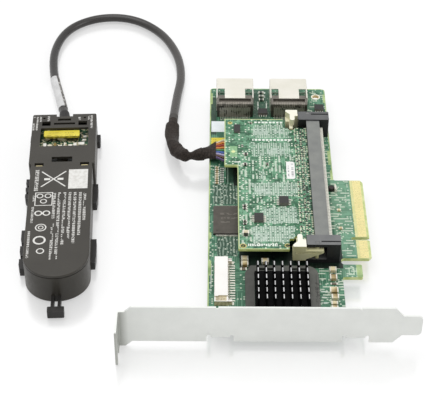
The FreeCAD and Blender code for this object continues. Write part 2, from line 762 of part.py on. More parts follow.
def make_housing(x0):
    mid = x0 + PORT_WIDTH / 2
    inset = PORT_SHEET + HOUSING_CLEAR
    a = x0 + inset
    b = x0 + PORT_WIDTH - inset
    top = BOARD_TOP + HOUSING_HEIGHT
    body = box(a, b, HOUSING_Y0, HOUSING_Y1, BOARD_TOP, top)
    z0 = BOARD_TOP + NOSE_LIFT
    z1 = z0 + NOSE_HEIGHT
    nose = box(mid - NOSE_WIDTH / 2, mid + NOSE_WIDTH / 2,
               HOUSING_Y1, HOUSING_Y1 + NOSE_LENGTH, z0, z1)
    body = fuse([body, nose])
    level = (z0 + z1) / 2
    tip = HOUSING_Y1 + NOSE_LENGTH
    tools = [
        box(a + 1, b - 1, HOUSING_Y0 + RECESS_START, HOUSING_Y0 + RECESS_START + RECESS_LENGTH,
            top - RECESS_DEPTH, top + 1),
        box(mid - NOSE_SLOT_WIDTH / 2, mid + NOSE_SLOT_WIDTH / 2, tip - NOSE_SLOT_DEPTH,
            tip + 1, level - NOSE_SLOT / 2, level + NOSE_SLOT / 2),
    ]
    for x in spread(CONTACT_COUNT, CONTACT_PITCH, mid):
        tools.append(box(x - GROOVE_WIDTH / 2, x + GROOVE_WIDTH / 2, HOUSING_Y0 - 1,
                         HOUSING_Y0 + GROOVE_DEPTH, BOARD_TOP - 1, top - GROOVE_TOP))
    return cut(body, tools)


def make_port_contacts(x0):
    mid = x0 + PORT_WIDTH / 2
    back = HOUSING_Y0 + GROOVE_DEPTH
    tails = []
    for x in spread(CONTACT_COUNT, CONTACT_PITCH, mid):
        tails.append(slab_x([
            (HOUSING_Y0 - TAIL_REACH, BOARD_TOP), (back, BOARD_TOP),
            (back, BOARD_TOP + TAIL_RISE), (back - TAIL_T, BOARD_TOP + TAIL_RISE),
            (back - TAIL_T, BOARD_TOP + TAIL_T),
            (HOUSING_Y0 - TAIL_REACH, BOARD_TOP + TAIL_T),
        ], x - CONTACT_WIDTH / 2, x + CONTACT_WIDTH / 2))
    return tails


for side, x0 in zip(("left", "right"), PORTS):
    save(side + "_port_cage", make_cage(x0))
    save(side + "_port_housing", make_housing(x0))
    save(side + "_port_contacts", make_port_contacts(x0))

# ======================================================================
# Main circuit board
# ======================================================================
HOLE_X = BOARD_WIDTH - CORNER_HOLE_X
HOLE_Y = BOARD_END - CORNER_HOLE_Y


def make_board():
    tab0 = BOARD_NEAR + TAB_START
    tab1 = tab0 + TAB_LENGTH
    c = TONGUE_CHAMFER
    body = plate([
        (0, BOARD_NEAR, 0.8), (HEEL_WIDTH, BOARD_NEAR, 0.8),
        (HEEL_WIDTH, BOARD_NEAR + HEEL_LENGTH, 1.0), (BOARD_WIDTH, BOARD_NEAR + HEEL_LENGTH, 1.0),
        (BOARD_WIDTH, tab0, 1.0), (BOARD_WIDTH + TAB_OUT, tab0, 0.6),
        (BOARD_WIDTH + TAB_OUT, tab1, 0.6), (BOARD_WIDTH, tab1, 1.5),
        (BOARD_WIDTH, TONGUE_Y0, 1.5), (TONGUE_X - c, TONGUE_Y0), (TONGUE_X, TONGUE_Y0 + c),
        (TONGUE_X, KEY_Y0), (TONGUE_X - KEY_DEPTH, KEY_Y0, 0.9),
        (TONGUE_X - KEY_DEPTH, KEY_Y1, 0.9), (TONGUE_X, KEY_Y1),
        (TONGUE_X, TONGUE_Y1 - c), (TONGUE_X - c, TONGUE_Y1), (BOARD_WIDTH, TONGUE_Y1, 1.0),
        (BOARD_WIDTH, BOARD_END, BOARD_CORNER), (0, BOARD_END, BOARD_CORNER),
    ], BOARD_BOTTOM, BOARD_TOP)
    tools = [rod(x, EAR_SCREW_IN, BOARD_BOTTOM - 1, BOARD_TOP + 1, SCREW_HOLE_R) for x in EARS]
    tools.append(rod(HOLE_X, HOLE_Y, BOARD_BOTTOM - 1, BOARD_TOP + 1, CORNER_HOLE_R))
    for x0 in PORTS:
        for y in PEGS:
            for edge in (x0, x0 + PORT_WIDTH - PORT_SHEET):
                g = PEG_CLEAR
                tools.append(box(edge - g, edge + PORT_SHEET + g, y - g, y + PEG_WIDTH + g,
                                 BOARD_BOTTOM - 1, BOARD_TOP + 1))
    b = TONGUE_BEVEL
    d = BEVEL_DEPTH
    for z, turn in ((BOARD_TOP, 1), (BOARD_BOTTOM, -1)):
        wedge = [(TONGUE_X - b, z), (TONGUE_X + 1, z + turn), (TONGUE_X + 1, z - turn * d),
                 (TONGUE_X, z - turn * d)]
        tools.append(slab_y(wedge, TONGUE_Y0 - 1, TONGUE_Y1 + 1))
    return cut(body, tools)


def edge_pads():
    """Contact pads on both faces of the tongue, either side of the key."""
    x1 = TONGUE_X - TONGUE_BEVEL
    x0 = x1 - PAD_LENGTH + PAD_INSET
    pads = []
    for y0, y1, count in ((TONGUE_Y0, KEY_Y0, 11), (KEY_Y1, TONGUE_Y1, 38)):
        for y in spread(count, PAD_PITCH, (y0 + y1) / 2):
            for z in (BOARD_TOP, BOARD_BOTTOM - PAD_T):
                pads.append(box(x0, x1, y - PAD_WIDTH / 2, y + PAD_WIDTH / 2, z, z + PAD_T))
    return pads


def hole_ring():
    ring = rod(HOLE_X, HOLE_Y, BOARD_TOP, BOARD_TOP + RING_T, RING_R)
    return ring.cut(rod(HOLE_X, HOLE_Y, BOARD_TOP - 1, BOARD_TOP + 1, CORNER_HOLE_R))


save("main_board", make_board())
save("edge_contacts", edge_pads())
save("hole_ring", hole_ring())

# ======================================================================
# Socket for the module, its latches and the module itself
# ======================================================================


def make_socket():
    corner = BLOCK_CORNER
    block = plate([
        (BLOCK_X0, BLOCK_Y0, corner), (BLOCK_X1, BLOCK_Y0, corner),
        (BLOCK_X1, BLOCK_Y1, corner), (BLOCK_X0, BLOCK_Y1, corner),
    ], BOARD_TOP, BLOCK_TOP)
    groove = BLOCK_Y0 + RIB_GROOVE_IN
    tools = [
        box(BLOCK_X0 - 1, BLOCK_X0 + LATCH_SLOT_LENGTH, BLOCK_Y0 - 1,
            BLOCK_Y0 + LATCH_SLOT_WIDTH, SLOT_Z0, SLOT_Z1),
        rod(PIN_X, PIN_Y, SLOT_Z0 - PIVOT_SEAT - 0.1, BLOCK_TOP + 1, PIVOT_R + PIVOT_CLEAR),
        box(PIN_X + 1.6, BLOCK_X1 + 1, groove, groove + RIB_GROOVE,
            BLOCK_TOP - RIB_GROOVE_DEPTH, BLOCK_TOP + 1),
    ]
    block = cut(block, tools)
    bar = box(BAR_X0, BAR_X1, BLOCK_Y1, SOCKET_END - BLOCK_LENGTH, BOARD_TOP, BAR_TOP)
    whole = fuse([block, bar, flip(block)])
    gap = MODULE_SLOT_CLEAR
    mouth = box(BAR_X0 - 1, BAR_X0 + MODULE_SLOT_DEPTH, SHOULDER_Y0 - MODULE_END_CLEAR,
                SHOULDER_Y1 + MODULE_END_CLEAR, MODULE_Z0 - gap, MODULE_Z1 + gap)
    lead_in = slab_y([
        (BAR_X0 - 0.5, MODULE_Z0 - gap - 1.0), (BAR_X0 + 0.9, MODULE_Z0 - gap),
        (BAR_X0 + 0.9, MODULE_Z1 + gap), (BAR_X0 - 0.5, MODULE_Z1 + gap + 1.0),
    ], SHOULDER_Y0 - MODULE_END_CLEAR, SHOULDER_Y1 + MODULE_END_CLEAR)
    return cut(whole, [mouth, lead_in])


def socket_tails():
    x1 = BAR_X1 + STRIP_REACH
    t = STRIP_T
    high = BOARD_TOP + STRIP_EXIT
    low = BOARD_TOP
    profile = [
        (BAR_X1, high - t), (x1 - t, high - t), (x1 - t, low + t), (x1 - t, low),
        (x1 + STRIP_FOOT, low), (x1 + STRIP_FOOT, low + t), (x1, low + t), (x1, high),
        (BAR_X1, high),
    ]
    return [
        slab_y(profile, y - STRIP_WIDTH / 2, y + STRIP_WIDTH / 2)
        for y in spread(STRIP_COUNT, STRIP_PITCH, SOCKET_MID)
    ]


def make_latch():
    x0 = LATCH_X0
    x1 = LATCH_X1
    y0 = LATCH_Y0
    y1 = LATCH_Y0 + LATCH_DEPTH
    top = BLOCK_TOP
    body = plate([(x0, y0, 0.5), (x1, y0, 0.3), (x1, y1, 0.3), (x0, y1, 0.5)],
                 LATCH_Z0, LATCH_Z1)
    fin0 = x0 + FIN_LEFT
    fin1 = fin0 + FIN_WIDTH
    round_end = FIN_WIDTH / 2
    head = plate([
        (x0, y0, 0.5), (x1, y0, 0.3), (x1, y1, 0.3), (fin1, y1, 0.3),
        (fin1, y1 + FIN_REACH, round_end), (fin0, y1 + FIN_REACH, round_end),
        (fin0, y1 - LATCH_STEP_Y, 0.3), (x0, y0 + LATCH_STEP_Y, 0.3),
    ], LATCH_Z1, top)
    hook0 = x0 + HOOK_LEFT
    middle = (MODULE_Z0 + MODULE_Z1) / 2
    hook = plate([
        (hook0, y1 - 0.5), (hook0 + HOOK_WIDTH, y1 - 0.5),
        (hook0 + HOOK_WIDTH, y1 + HOOK_REACH, 0.5), (hook0, y1 + HOOK_REACH, 0.5),
    ], middle - HOOK_T / 2, middle + HOOK_T / 2)
    root = LATCH_Z0 + ARM_UNDER
    end = BLOCK_X0 + ARM_LENGTH
    arm = slab_y([
        (x1 - 0.3, root), (end, root + ARM_RISE, 0.4),
        (end, LATCH_Z0 + ARM_TOP, 0.4), (x1 - 0.3, LATCH_Z0 + ARM_TOP),
    ], y0, y0 + ARM_DEPTH)
    pin = rod(PIN_X, PIN_Y, SLOT_Z0 - PIVOT_SEAT, top, PIVOT_R)
    latch = fuse([body, head, hook, arm, pin])
    level = LATCH_Z0 + ARM_TOP - 1.4
    groove = box(x0 + 1.0, end - 1.2, y0 - 1, y0 + GRIP_GROOVE, level, level + 0.7)
    return cut(latch, [groove])


def make_module():
    inner = CUTOUT_X
    board = plate([
        (MODULE_X0 + MODULE_STEP_X, MODULE_Y0, 0.6), (inner, MODULE_Y0, 0.6),
        (inner, SHOULDER_Y0, 0.6), (MODULE_X1, SHOULDER_Y0, 0.4),
        (MODULE_X1, SHOULDER_Y1, 0.4), (inner, SHOULDER_Y1, 0.6),
        (inner, MODULE_Y1, 0.6), (MODULE_X0, MODULE_Y1, 0.6),
        (MODULE_X0, MODULE_STEP, 0.6),
        (MODULE_X0 + MODULE_STEP_X, MODULE_STEP, 0.6),
    ], MODULE_Z0, MODULE_Z1)
    holes = [rod(HOOK_X, y, MODULE_Z0 - 1, MODULE_Z1 + 1, HOOK_NOTCH_R)
             for y in (SHOULDER_Y0, SHOULDER_Y1)]
    for x, y in (
        (MODULE_X0 + MODULE_STEP_X + 1.9, MODULE_Y0 + 1.9),
        (inner - 1.0, MODULE_Y0 + 3.0),
        (MODULE_X0 + 2.6, MODULE_Y1 - 2.8),
        (MODULE_X0 + 12.7, MODULE_Y1 - 2.6),
    ):
        holes.append(rod(x, y, MODULE_Z0 - 1, MODULE_Z1 + 1, SMALL_HOLE_R))
    return cut(board, holes)


def module_pads():
    """Contact pads on the module's inserted edge."""
    pads = []
    for y in spread(GOLD_COUNT, GOLD_PITCH, SOCKET_MID):
        for z in (MODULE_Z1, MODULE_Z0 - PAD_T):
            thin = MODULE_SLOT_CLEAR - 0.01
            low = z if z == MODULE_Z1 else MODULE_Z0 - thin
            pads.append(box(MODULE_X1 - GOLD_LENGTH, MODULE_X1 - 0.3,
                            y - GOLD_WIDTH / 2, y + GOLD_WIDTH / 2, low, low + thin))
    return pads


def memory_chips():
    chips = []
    for place in MEMORY_PLACES:
        y = MODULE_Y0 + MODULE_LENGTH * place
        x = CUTOUT_X - 6.6
        if y - MEMORY_LENGTH / 2 < SHOULDER_Y0 or y + MEMORY_LENGTH / 2 > SHOULDER_Y1:
            x = CUTOUT_X - MEMORY_IN - MEMORY_WIDTH / 2
        chips.append(plate([
            (x - MEMORY_WIDTH / 2, y - MEMORY_LENGTH / 2, 0.3),
            (x + MEMORY_WIDTH / 2, y - MEMORY_LENGTH / 2, 0.3),
            (x + MEMORY_WIDTH / 2, y + MEMORY_LENGTH / 2, 0.3),
            (x - MEMORY_WIDTH / 2, y + MEMORY_LENGTH / 2, 0.3),
        ], MODULE_Z0 - MEMORY_T, MODULE_Z0))
    return chips


def small_chip(x, y, z, length, width, height, leads, pitch, along_y):
    """A small leaded chip centred on x, y, with its leads as separate solids."""
    lx = width / 2 if along_y else length / 2
    ly = length / 2 if along_y else width / 2
    body = box(x - lx, x + lx, y - ly, y + ly, z + 0.1, z + height)
    pins = []
    half = DRIVER_LEAD / 2
    for s in spread(leads, pitch, 0):
        for turn in (-1, 1):
            if along_y:
                a = x + turn * lx
                b = x + turn * (lx + DRIVER_REACH)
                pins.append(box(min(a, b), max(a, b), y + s - half, y + s + half, z, z + 0.35))
            else:
                a = y + turn * ly
                b = y + turn * (ly + DRIVER_REACH)
                pins.append(box(x + s - half, x + s + half, min(a, b), max(a, b), z, z + 0.35))
    return body, pins


near_latch = make_latch()
save("module_socket", make_socket())
save("socket_tails", socket_tails())
save("latch_near", near_latch)
save("latch_far", flip(near_latch))
save("module_board", make_module())
save("module_contacts", module_pads())
save("module_memory_chips", memory_chips())

IC1 = small_chip(MODULE_X0 + 25.7, MODULE_Y0 + MODULE_LENGTH * CHIP_ONE, MODULE_Z1,
                 4.6, 4.1, 1.75, 4, DRIVER_PITCH, True)
IC2 = small_chip(MODULE_X0 + 14.7, MODULE_Y0 + MODULE_LENGTH * CHIP_TWO, MODULE_Z1,
                 4.9, 3.9, 1.5, 4, DRIVER_PITCH, True)
BLACK_PART = box(MODULE_X0 + 4.4, MODULE_X0 + 7.2, MODULE_Y1 - 10.9, MODULE_Y1 - 5.4,
                 MODULE_Z1, MODULE_Z1 + 0.9)
save("module_top_chips", [IC1[0], IC2[0], BLACK_PART])
save("module_chip_leads", IC1[1] + IC2[1])


def module_passives():
    """Ceramic parts along the module's left side, and two rows of resistors by the socket."""
    parts = []
    for x, place, length, width, height in PASSIVE_PLACES:
        x0 = MODULE_X0 + x
        y0 = MODULE_Y0 + MODULE_LENGTH * place
        parts.append(box(x0, x0 + length, y0, y0 + width, MODULE_Z1, MODULE_Z1 + height))
    for i, y in enumerate(spread(ROW_COUNT, ROW_PITCH, SOCKET_MID)):
        for x in (CUTOUT_X + 5.0, CUTOUT_X + 7.4):
            y0 = y + (0.8 if x > CUTOUT_X + 6 else 0)
            parts.append(box(x, x + 0.9, y0, y0 + 0.5, MODULE_Z1, MODULE_Z1 + 0.35))
    return parts


save("module_passives", module_passives())
LABEL_Y = MODULE_Y0 + MODULE_LENGTH * MODULE_LABEL
save("module_label", box(MODULE_X1 - 14.7, MODULE_X1 - 10.9, LABEL_Y - MODULE_LABEL_LENGTH / 2,
                         LABEL_Y + MODULE_LABEL_LENGTH / 2, MODULE_Z1, MODULE_Z1 + STICKER_T))

# ======================================================================
# Wire socket and plug under the module
# ======================================================================


def make_wire_socket():
    half = PLUG_WIDTH / 2 + PLUG_CLEAR
    x0 = PLUG_X0 + 1.2
    x1 = PLUG_X0 + WIRE_SOCKET_LENGTH + 1.2
    body = box(x0, x1, PLUG_Y - half - SOCKET_WALL, PLUG_Y + half + SOCKET_WALL,
               PLUG_Z0 - PLUG_CLEAR - SOCKET_WALL, MODULE_Z0)
    mouth = box(x0 - 1, PLUG_X0 + PLUG_LENGTH + PLUG_CLEAR, PLUG_Y - half, PLUG_Y + half,
                PLUG_Z0 - PLUG_CLEAR, PLUG_Z1)
    return cut(body, [mouth])


def make_wire_plug():
    half = PLUG_WIDTH / 2
    body = box(PLUG_X0, PLUG_X0 + PLUG_LENGTH, PLUG_Y - half, PLUG_Y + half, PLUG_Z0, PLUG_Z1)
    key = [box(PLUG_X0 - 1, PLUG_X0 + 0.8, PLUG_Y + s * half * 0.82 - 0.6,
               PLUG_Y + s * half * 0.82 + 0.6, PLUG_Z1 - 0.5, PLUG_Z1 + 1) for s in (-1, 1)]
    return cut(body, key)


save("wire_socket", make_wire_socket())
save("wire_plug", make_wire_plug())

# ======================================================================
# Controller chip, thermal pad, heatsink and its frame
# ======================================================================


def square(side, z0, z1, radius):
    h = side / 2
    return plate([
        (SINK_X - h, SINK_CY - h, radius), (SINK_X + h, SINK_CY - h, radius),
        (SINK_X + h, SINK_CY + h, radius), (SINK_X - h, SINK_CY + h, radius),
    ], z0, z1)


def make_heatsink():
    base = square(SINK_SIDE, SINK_Z0, SINK_Z0 + SINK_BASE, 0.3)
    pins = []
    for x in spread(PIN_COLUMNS, PIN_PITCH_X, SINK_X):
        for y in spread(PIN_ROWS, PIN_PITCH_Y, SINK_CY):
            pins.append(box(x - PIN_WIDTH / 2, x + PIN_WIDTH / 2, y - PIN_LENGTH / 2,
                            y + PIN_LENGTH / 2, SINK_Z0 + SINK_BASE, SINK_TOP))
    return fuse([base] + pins)


def make_frame():
    h = FRAME_SIDE / 2
    x0 = SINK_X - h
    x1 = SINK_X + h
    y0 = SINK_CY - h
    y1 = SINK_CY + h
    top = BOARD_TOP + FRAME_H
    body = plate([
        (x0, y0, FRAME_NEAR_R), (x1, y0, FRAME_NEAR_R), (x1, y1, FRAME_R),
        (x0 + FRAME_CHAMFER_X, y1, 0.8), (x0, y1 - FRAME_CHAMFER_Y, 0.8),
    ], BOARD_TOP, top)
    lip = plate([
        (x1 - FRAME_LIP, y0 + FRAME_NEAR_R), (x1, y0 + FRAME_NEAR_R),
        (x1, y1 - FRAME_R), (x1 - FRAME_LIP, y1 - FRAME_R),
    ], top, top + FRAME_LIP_H)
    body = fuse([body, lip])
    tools = [square(SINK_SIDE + 2 * FRAME_CLEAR, BOARD_TOP - 1, top + 1, 0.4)]
    s1 = y1 - FRAME_SLOT_IN
    for x in spread(2, FRAME_SLOT_PITCH, SINK_X):
        tools.append(box(x - FRAME_SLOT_LENGTH / 2, x + FRAME_SLOT_LENGTH / 2,
                         s1 - FRAME_SLOT, s1, BOARD_TOP - 1, top + 1))
    return cut(body, tools)


save("controller_chip", square(CHIP_SIDE, BOARD_TOP, BOARD_TOP + CHIP_H, 0.3))
save("thermal_pad", square(CHIP_SIDE - 2, BOARD_TOP + CHIP_H, SINK_Z0, 0.2))
save("heatsink", make_heatsink())
save("heatsink_frame", make_frame())

# ======================================================================
# Side connector
# ======================================================================
SIDE_Y0 = BOARD_NEAR + SIDE_START
SIDE_Y1 = SIDE_Y0 + SIDE_LENGTH
SIDE_X1 = SIDE_LEFT + SIDE_DEPTH


def make_side_connector():
    w = SIDE_WALL
    body = box(SIDE_LEFT, SIDE_X1, SIDE_Y0, SIDE_Y1, BOARD_TOP, BOARD_TOP + SIDE_HEIGHT)
    top = BOARD_TOP + SIDE_HEIGHT
    body = round_edges(body, 0.3, lambda b: b.ZMin > top - 0.01)
    ears = [box(SIDE_X1 - 0.5, SIDE_X1 + SIDE_EAR, y0 + 0.15, y0 + SIDE_NAIL - 0.15,
                BOARD_TOP + 0.3, BOARD_TOP + SIDE_EAR_H)
            for y0 in (SIDE_Y0, SIDE_Y1 - SIDE_NAIL)]
    body = fuse([body] + ears)
    tools = [
        box(SIDE_LEFT - 1, SIDE_X1 + 0.01, SIDE_Y0 - 1, SIDE_Y0 + SIDE_STEP, top - SIDE_STEP_H,
            top + 1),
        box(SIDE_LEFT - 1, SIDE_LEFT + SIDE_MOUTH, SIDE_Y0 + w, SIDE_Y1 - w,
            BOARD_TOP + w, top - w),
    ]
    for y in spread(2, SIDE_LENGTH - 7, (SIDE_Y0 + SIDE_Y1) / 2):
        tools.append(box(SIDE_LEFT - 1, SIDE_LEFT + 1.6, y - 1, y + 1, top - w - 0.1, top + 1))
    return cut(body, tools)


def side_pins():
    pins = []
    half = SIDE_PIN_WIDTH / 2
    count = int((SIDE_LENGTH - 2 * SIDE_END_FREE) / SIDE_PITCH) + 1
    for y in spread(count, SIDE_PITCH, (SIDE_Y0 + SIDE_Y1) / 2):
        pins.append(slab_y([
            (SIDE_X1, BOARD_TOP), (SIDE_X1 + SIDE_TAIL, BOARD_TOP),
            (SIDE_X1 + SIDE_TAIL, BOARD_TOP + 0.25), (SIDE_X1 + 0.7, BOARD_TOP + 0.25, 0.3),
            (SIDE_X1 + 0.4, BOARD_TOP + 1.6, 0.3), (SIDE_X1, BOARD_TOP + 1.6),
        ], y - half, y + half))
    return pins


def side_nails():
    nails = []
    for y0 in (SIDE_Y0, SIDE_Y1 - SIDE_NAIL):
        nails.append(box(SIDE_X1, SIDE_X1 + SIDE_NAIL * 1.2, y0 + 0.2, y0 + SIDE_NAIL - 0.2,
                         BOARD_TOP, BOARD_TOP + 0.3))
    return nails


save("side_connector", make_side_connector())
save("side_connector_pins", side_pins() + side_nails())

# ======================================================================
# Parts soldered to the main board
# ======================================================================


def make_flash():
    y0 = BOARD_NEAR + FLASH_Y
    z0 = BOARD_TOP + FLASH_LIFT
    body = box(FLASH_X, FLASH_X + FLASH_WIDTH, y0, y0 + FLASH_LENGTH, z0, z0 + FLASH_T)
    dot = rod(FLASH_X + 1.6, y0 + 1.6, z0 + FLASH_T - 0.1, z0 + FLASH_T + 1, 0.6)
    body = cut(body, [dot])
    leads = []
    half = LEAD_WIDTH / 2
    for x in spread(LEAD_COUNT, LEAD_PITCH, FLASH_X + FLASH_WIDTH / 2):
        for a, b in ((y0 - LEAD_REACH, y0), (y0 + FLASH_LENGTH, y0 + FLASH_LENGTH + LEAD_REACH)):
            leads.append(box(x - half, x + half, a, b, BOARD_TOP, BOARD_TOP + LEAD_H))
    return body, leads


flash_body, flash_leads = make_flash()
save("flash_chip", flash_body)
save("flash_leads", flash_leads)

DRIVER_RIGHT = small_chip(BOARD_WIDTH - 3.55, PORT_BACK + 2.0, BOARD_TOP, DRIVER_LENGTH,
                          DRIVER_WIDTH, DRIVER_T, 4, DRIVER_PITCH, False)
DRIVER_MID = small_chip(PORT_MID + 0.45, HOUSING_Y0 + 3.2, BOARD_TOP, DRIVER_LENGTH,
                        DRIVER_WIDTH, DRIVER_T, 4, DRIVER_PITCH, False)
save("driver_chips", [DRIVER_RIGHT[0], DRIVER_MID[0]])
save("driver_leads", DRIVER_RIGHT[1] + DRIVER_MID[1])


def chip_at(x, y, length, width, height):
    """A plain part lying on the board, its long side across, with its near-left corner here."""
    return box(x, x + length, BOARD_NEAR + y, BOARD_NEAR + y + width, BOARD_TOP, BOARD_TOP + height)


def board_capacitors():
    caps = []
    for y in (38.0, 41.2):
        caps.append(chip_at(SINK_X - 16.6, y, CAP_LENGTH, CAP_WIDTH, CAP_H))
    caps.append(chip_at(SINK_X - 8.1, 39.8, CAP_LENGTH, CAP_WIDTH, CAP_H))
    right = BOARD_WIDTH - 5.45
    for y in (18.3, 29.9, 34.8):
        caps.append(chip_at(right, y, CAP_LENGTH, CAP_WIDTH, CAP_H))
    caps.append(chip_at(right - 0.5, 21.9, CAP_LENGTH + 0.5, CAP_WIDTH + 0.6, CAP_H))
    for y in (12.7, 15.3):
        caps.append(chip_at(right - 0.3, y, CAP_LENGTH - 0.3, CAP_WIDTH - 0.7, CAP_H * 0.7))
    for y in (62.2, 74.3):
        caps.append(chip_at(BOARD_WIDTH + 0.2, y, 1.8, 1.2, 0.8))
    for y in (10.65, 7.65, 4.65):
        caps.append(chip_at(PORT_MID - 1.2, BOARD_LENGTH - y, 2.4, 1.3, 0.9))
    return caps


def board_resistors():
    parts = []
    start = FLASH_Y + FLASH_LENGTH
    sticker = BOARD_LENGTH - STICKER_FAR[1] - STICKER_LENGTHS[1]
    middle = start + (sticker - start) * RESISTOR_SHARE
    for y in spread(RESISTOR_COUNT, RESISTOR_PITCH, middle):
        parts.append(chip_at(2.6, y - RESISTOR_WIDTH / 2, RESISTOR_LENGTH, RESISTOR_WIDTH,
                             RESISTOR_H))
    for y in spread(RESISTOR_COUNT - 1, RESISTOR_PITCH, middle):
        parts.append(chip_at(5.1, y - 0.4, 1.5, 0.8, RESISTOR_H))
    for y in (27.4, 32.8):
        parts.append(chip_at(BOARD_WIDTH - 5.35, y, CAP_LENGTH, 1.1, RESISTOR_H))
    parts.append(chip_at(SINK_X - 16.9, 35.9, CAP_LENGTH - 0.4, 1.5, RESISTOR_H))
    return parts


def make_inductor():
    x = BOARD_WIDTH - INDUCTOR_R
    y = BOARD_NEAR + 89.4
    coil = rod(x, y, BOARD_TOP, BOARD_TOP + INDUCTOR_H, INDUCTOR_R)
    rim = BOARD_TOP + INDUCTOR_H - 0.01
    return round_edges(coil, 0.3, lambda b: b.ZMin > rim)


save("ceramic_capacitors", board_capacitors())
save("chip_resistors", board_resistors())
save("power_inductor", make_inductor())
save("board_labels", [
    box(0.8, MODULE_X0 + STICKER_OVER, BOARD_END - far - length, BOARD_END - far,
        BOARD_TOP, BOARD_TOP + STICKER_T)
    for far, length in zip(STICKER_FAR, STICKER_LENGTHS)
])

# ======================================================================
# Battery pack, in its own frame and then turned to where it lies
# ======================================================================


def lay(shape):
    shape = shape.copy()
    shape.rotate(V(0, 0, 0), V(0, 0, 1), CASE_TURN)
    shape.translate(V(CASE_X, CASE_Y, 0))
    return shape


def case_form(inset, z0, z1):
    """Round-ended near section and wider far section, drawn in by an inset."""
    r = CASE_R - inset
    near = plate([
        (-r, -r, r), (r, -r, r), (r, CASE_NEAR + 1), (-r, CASE_NEAR + 1),
    ], z0, z1)
    w = CASE_FAR_WIDTH / 2 - inset
    corner = CASE_CORNER - inset / 2
    far = plate([
        (-w, CASE_NEAR + inset, 0.8), (w, CASE_NEAR + inset, 0.8),
        (w, CASE_FAR - inset, corner), (-w, CASE_FAR - inset, corner),
    ], z0, z1)
    return fuse([near, far])


def saw_clip(side, v0, v1, teeth, out):
    """Snap clip on a side wall, with teeth stepped along it."""
    wall = (CASE_FAR_WIDTH / 2 if v0 > CASE_NEAR else CASE_R) - 0.4
    pitch = (v1 - v0) / teeth
    points = [(side * wall, v0)]
    for i in range(teeth):
        points.append((side * (wall + 0.4 + out * 0.8), v0 + pitch * i))
        points.append((side * (wall + 0.4 + out), v0 + pitch * (i + 0.3)))
        if i < teeth - 1:
            points.append((side * (wall + 0.4 + out), v0 + pitch * (i + 0.75)))
            points.append((side * (wall + 0.4 + out * 0.35), v0 + pitch * (i + 0.75) + 0.01))
            points.append((side * (wall + 0.4 + out * 0.35), v0 + pitch * (i + 1) - 0.01))
    points.append((side * (wall + 0.4 + out), v1))
    points.append((side * wall, v1))
    if side < 0:
        points.reverse()
    return plate(points, CLIP_LOW, CLIP_LOW + CLIP_H)


def make_case_body():
    body = case_form(0, 0, LID_Z)
    low_edge = [e for e in body.Edges if e.BoundBox.ZMax < 0.01]
    body = body.makeChamfer(0.5, low_edge)
    seam = case_form(-1, LID_Z - SEAM, LID_Z + 1).cut(case_form(SEAM, LID_Z - 2, LID_Z + 2))
    r = CASE_R - CASE_WALL
    w = CASE_FAR_WIDTH / 2 - CASE_WALL
    cells = plate([
        (-r, -r, r), (r, -r, r), (r, CASE_NEAR - CASE_WALL, 0.8), (-r, CASE_NEAR - CASE_WALL, 0.8),
    ], CASE_FLOOR, LID_Z + 1)
    bay = plate([
        (-w, CASE_NEAR + CASE_WALL, 0.8), (w, CASE_NEAR + CASE_WALL, 0.8),
        (w, CASE_FAR - CASE_WALL, 1), (-w, CASE_FAR - CASE_WALL, 1),
    ], CASE_FLOOR, LID_Z + 1)
    gland = Part.makeCylinder(RELIEF_D / 2, CASE_WALL + 4,
                              V(0, CASE_FAR - CASE_WALL - 2, CASE_H / 2), V(0, 1, 0))
    notch = box(-NOTCH_HALF, NOTCH_HALF, CASE_FAR - CASE_WALL - 1, CASE_FAR + 1, LID_Z - 2.4, LID_Z + 1)
    body = cut(body, [seam, cells, bay, gland, notch])
    clips = [
        saw_clip(1, 4.5, 19.5, 1, CLIP_OUT),
        saw_clip(1, CASE_NEAR - 17.0, CASE_NEAR - 3.5, 1, CLIP_OUT),
        saw_clip(1, CASE_FAR - 9.6, CASE_FAR - 4.2, 1, CLIP_OUT * 0.7),
        saw_clip(-1, 2.0, 26.5, 3, CLIP_OUT_LEFT),
        saw_clip(-1, CASE_NEAR - 12.8, CASE_NEAR + 1.2, 3, CLIP_OUT_LEFT),
        saw_clip(-1, CASE_FAR - 11.2, CASE_FAR - 4.2, 1, CLIP_OUT * 0.7),
    ]
    posts = [
        rod(u, v, CASE_FLOOR - 0.2, CASE_BOARD_Z, POST_R)
        for u in (-w + 2.2, w - 2.2) for v in (CASE_NEAR + 4.5, CASE_FAR - 4.5)
    ]
    half = TIE_STEM_WIDTH / 2
    start = -CASE_R
    bar_end = start - TIE_STEM - TIE_BAR
    tie = [
        box(-half, -half + TIE_RAIL, start - TIE_STEM, start + 1, 0.6, TIE_H),
        box(half - TIE_RAIL, half, start - TIE_STEM, start + 1, 0.6, TIE_H),
        plate([
            (-TIE_BAR_WIDTH / 2, bar_end, 0.5), (TIE_BAR_WIDTH / 2, bar_end, 0.5),
            (TIE_BAR_WIDTH / 2, start - TIE_STEM, 0.5),
            (-TIE_BAR_WIDTH / 2, start - TIE_STEM, 0.5),
        ], 0.6, TIE_H),
    ]
    return fuse([body] + clips + posts + tie)


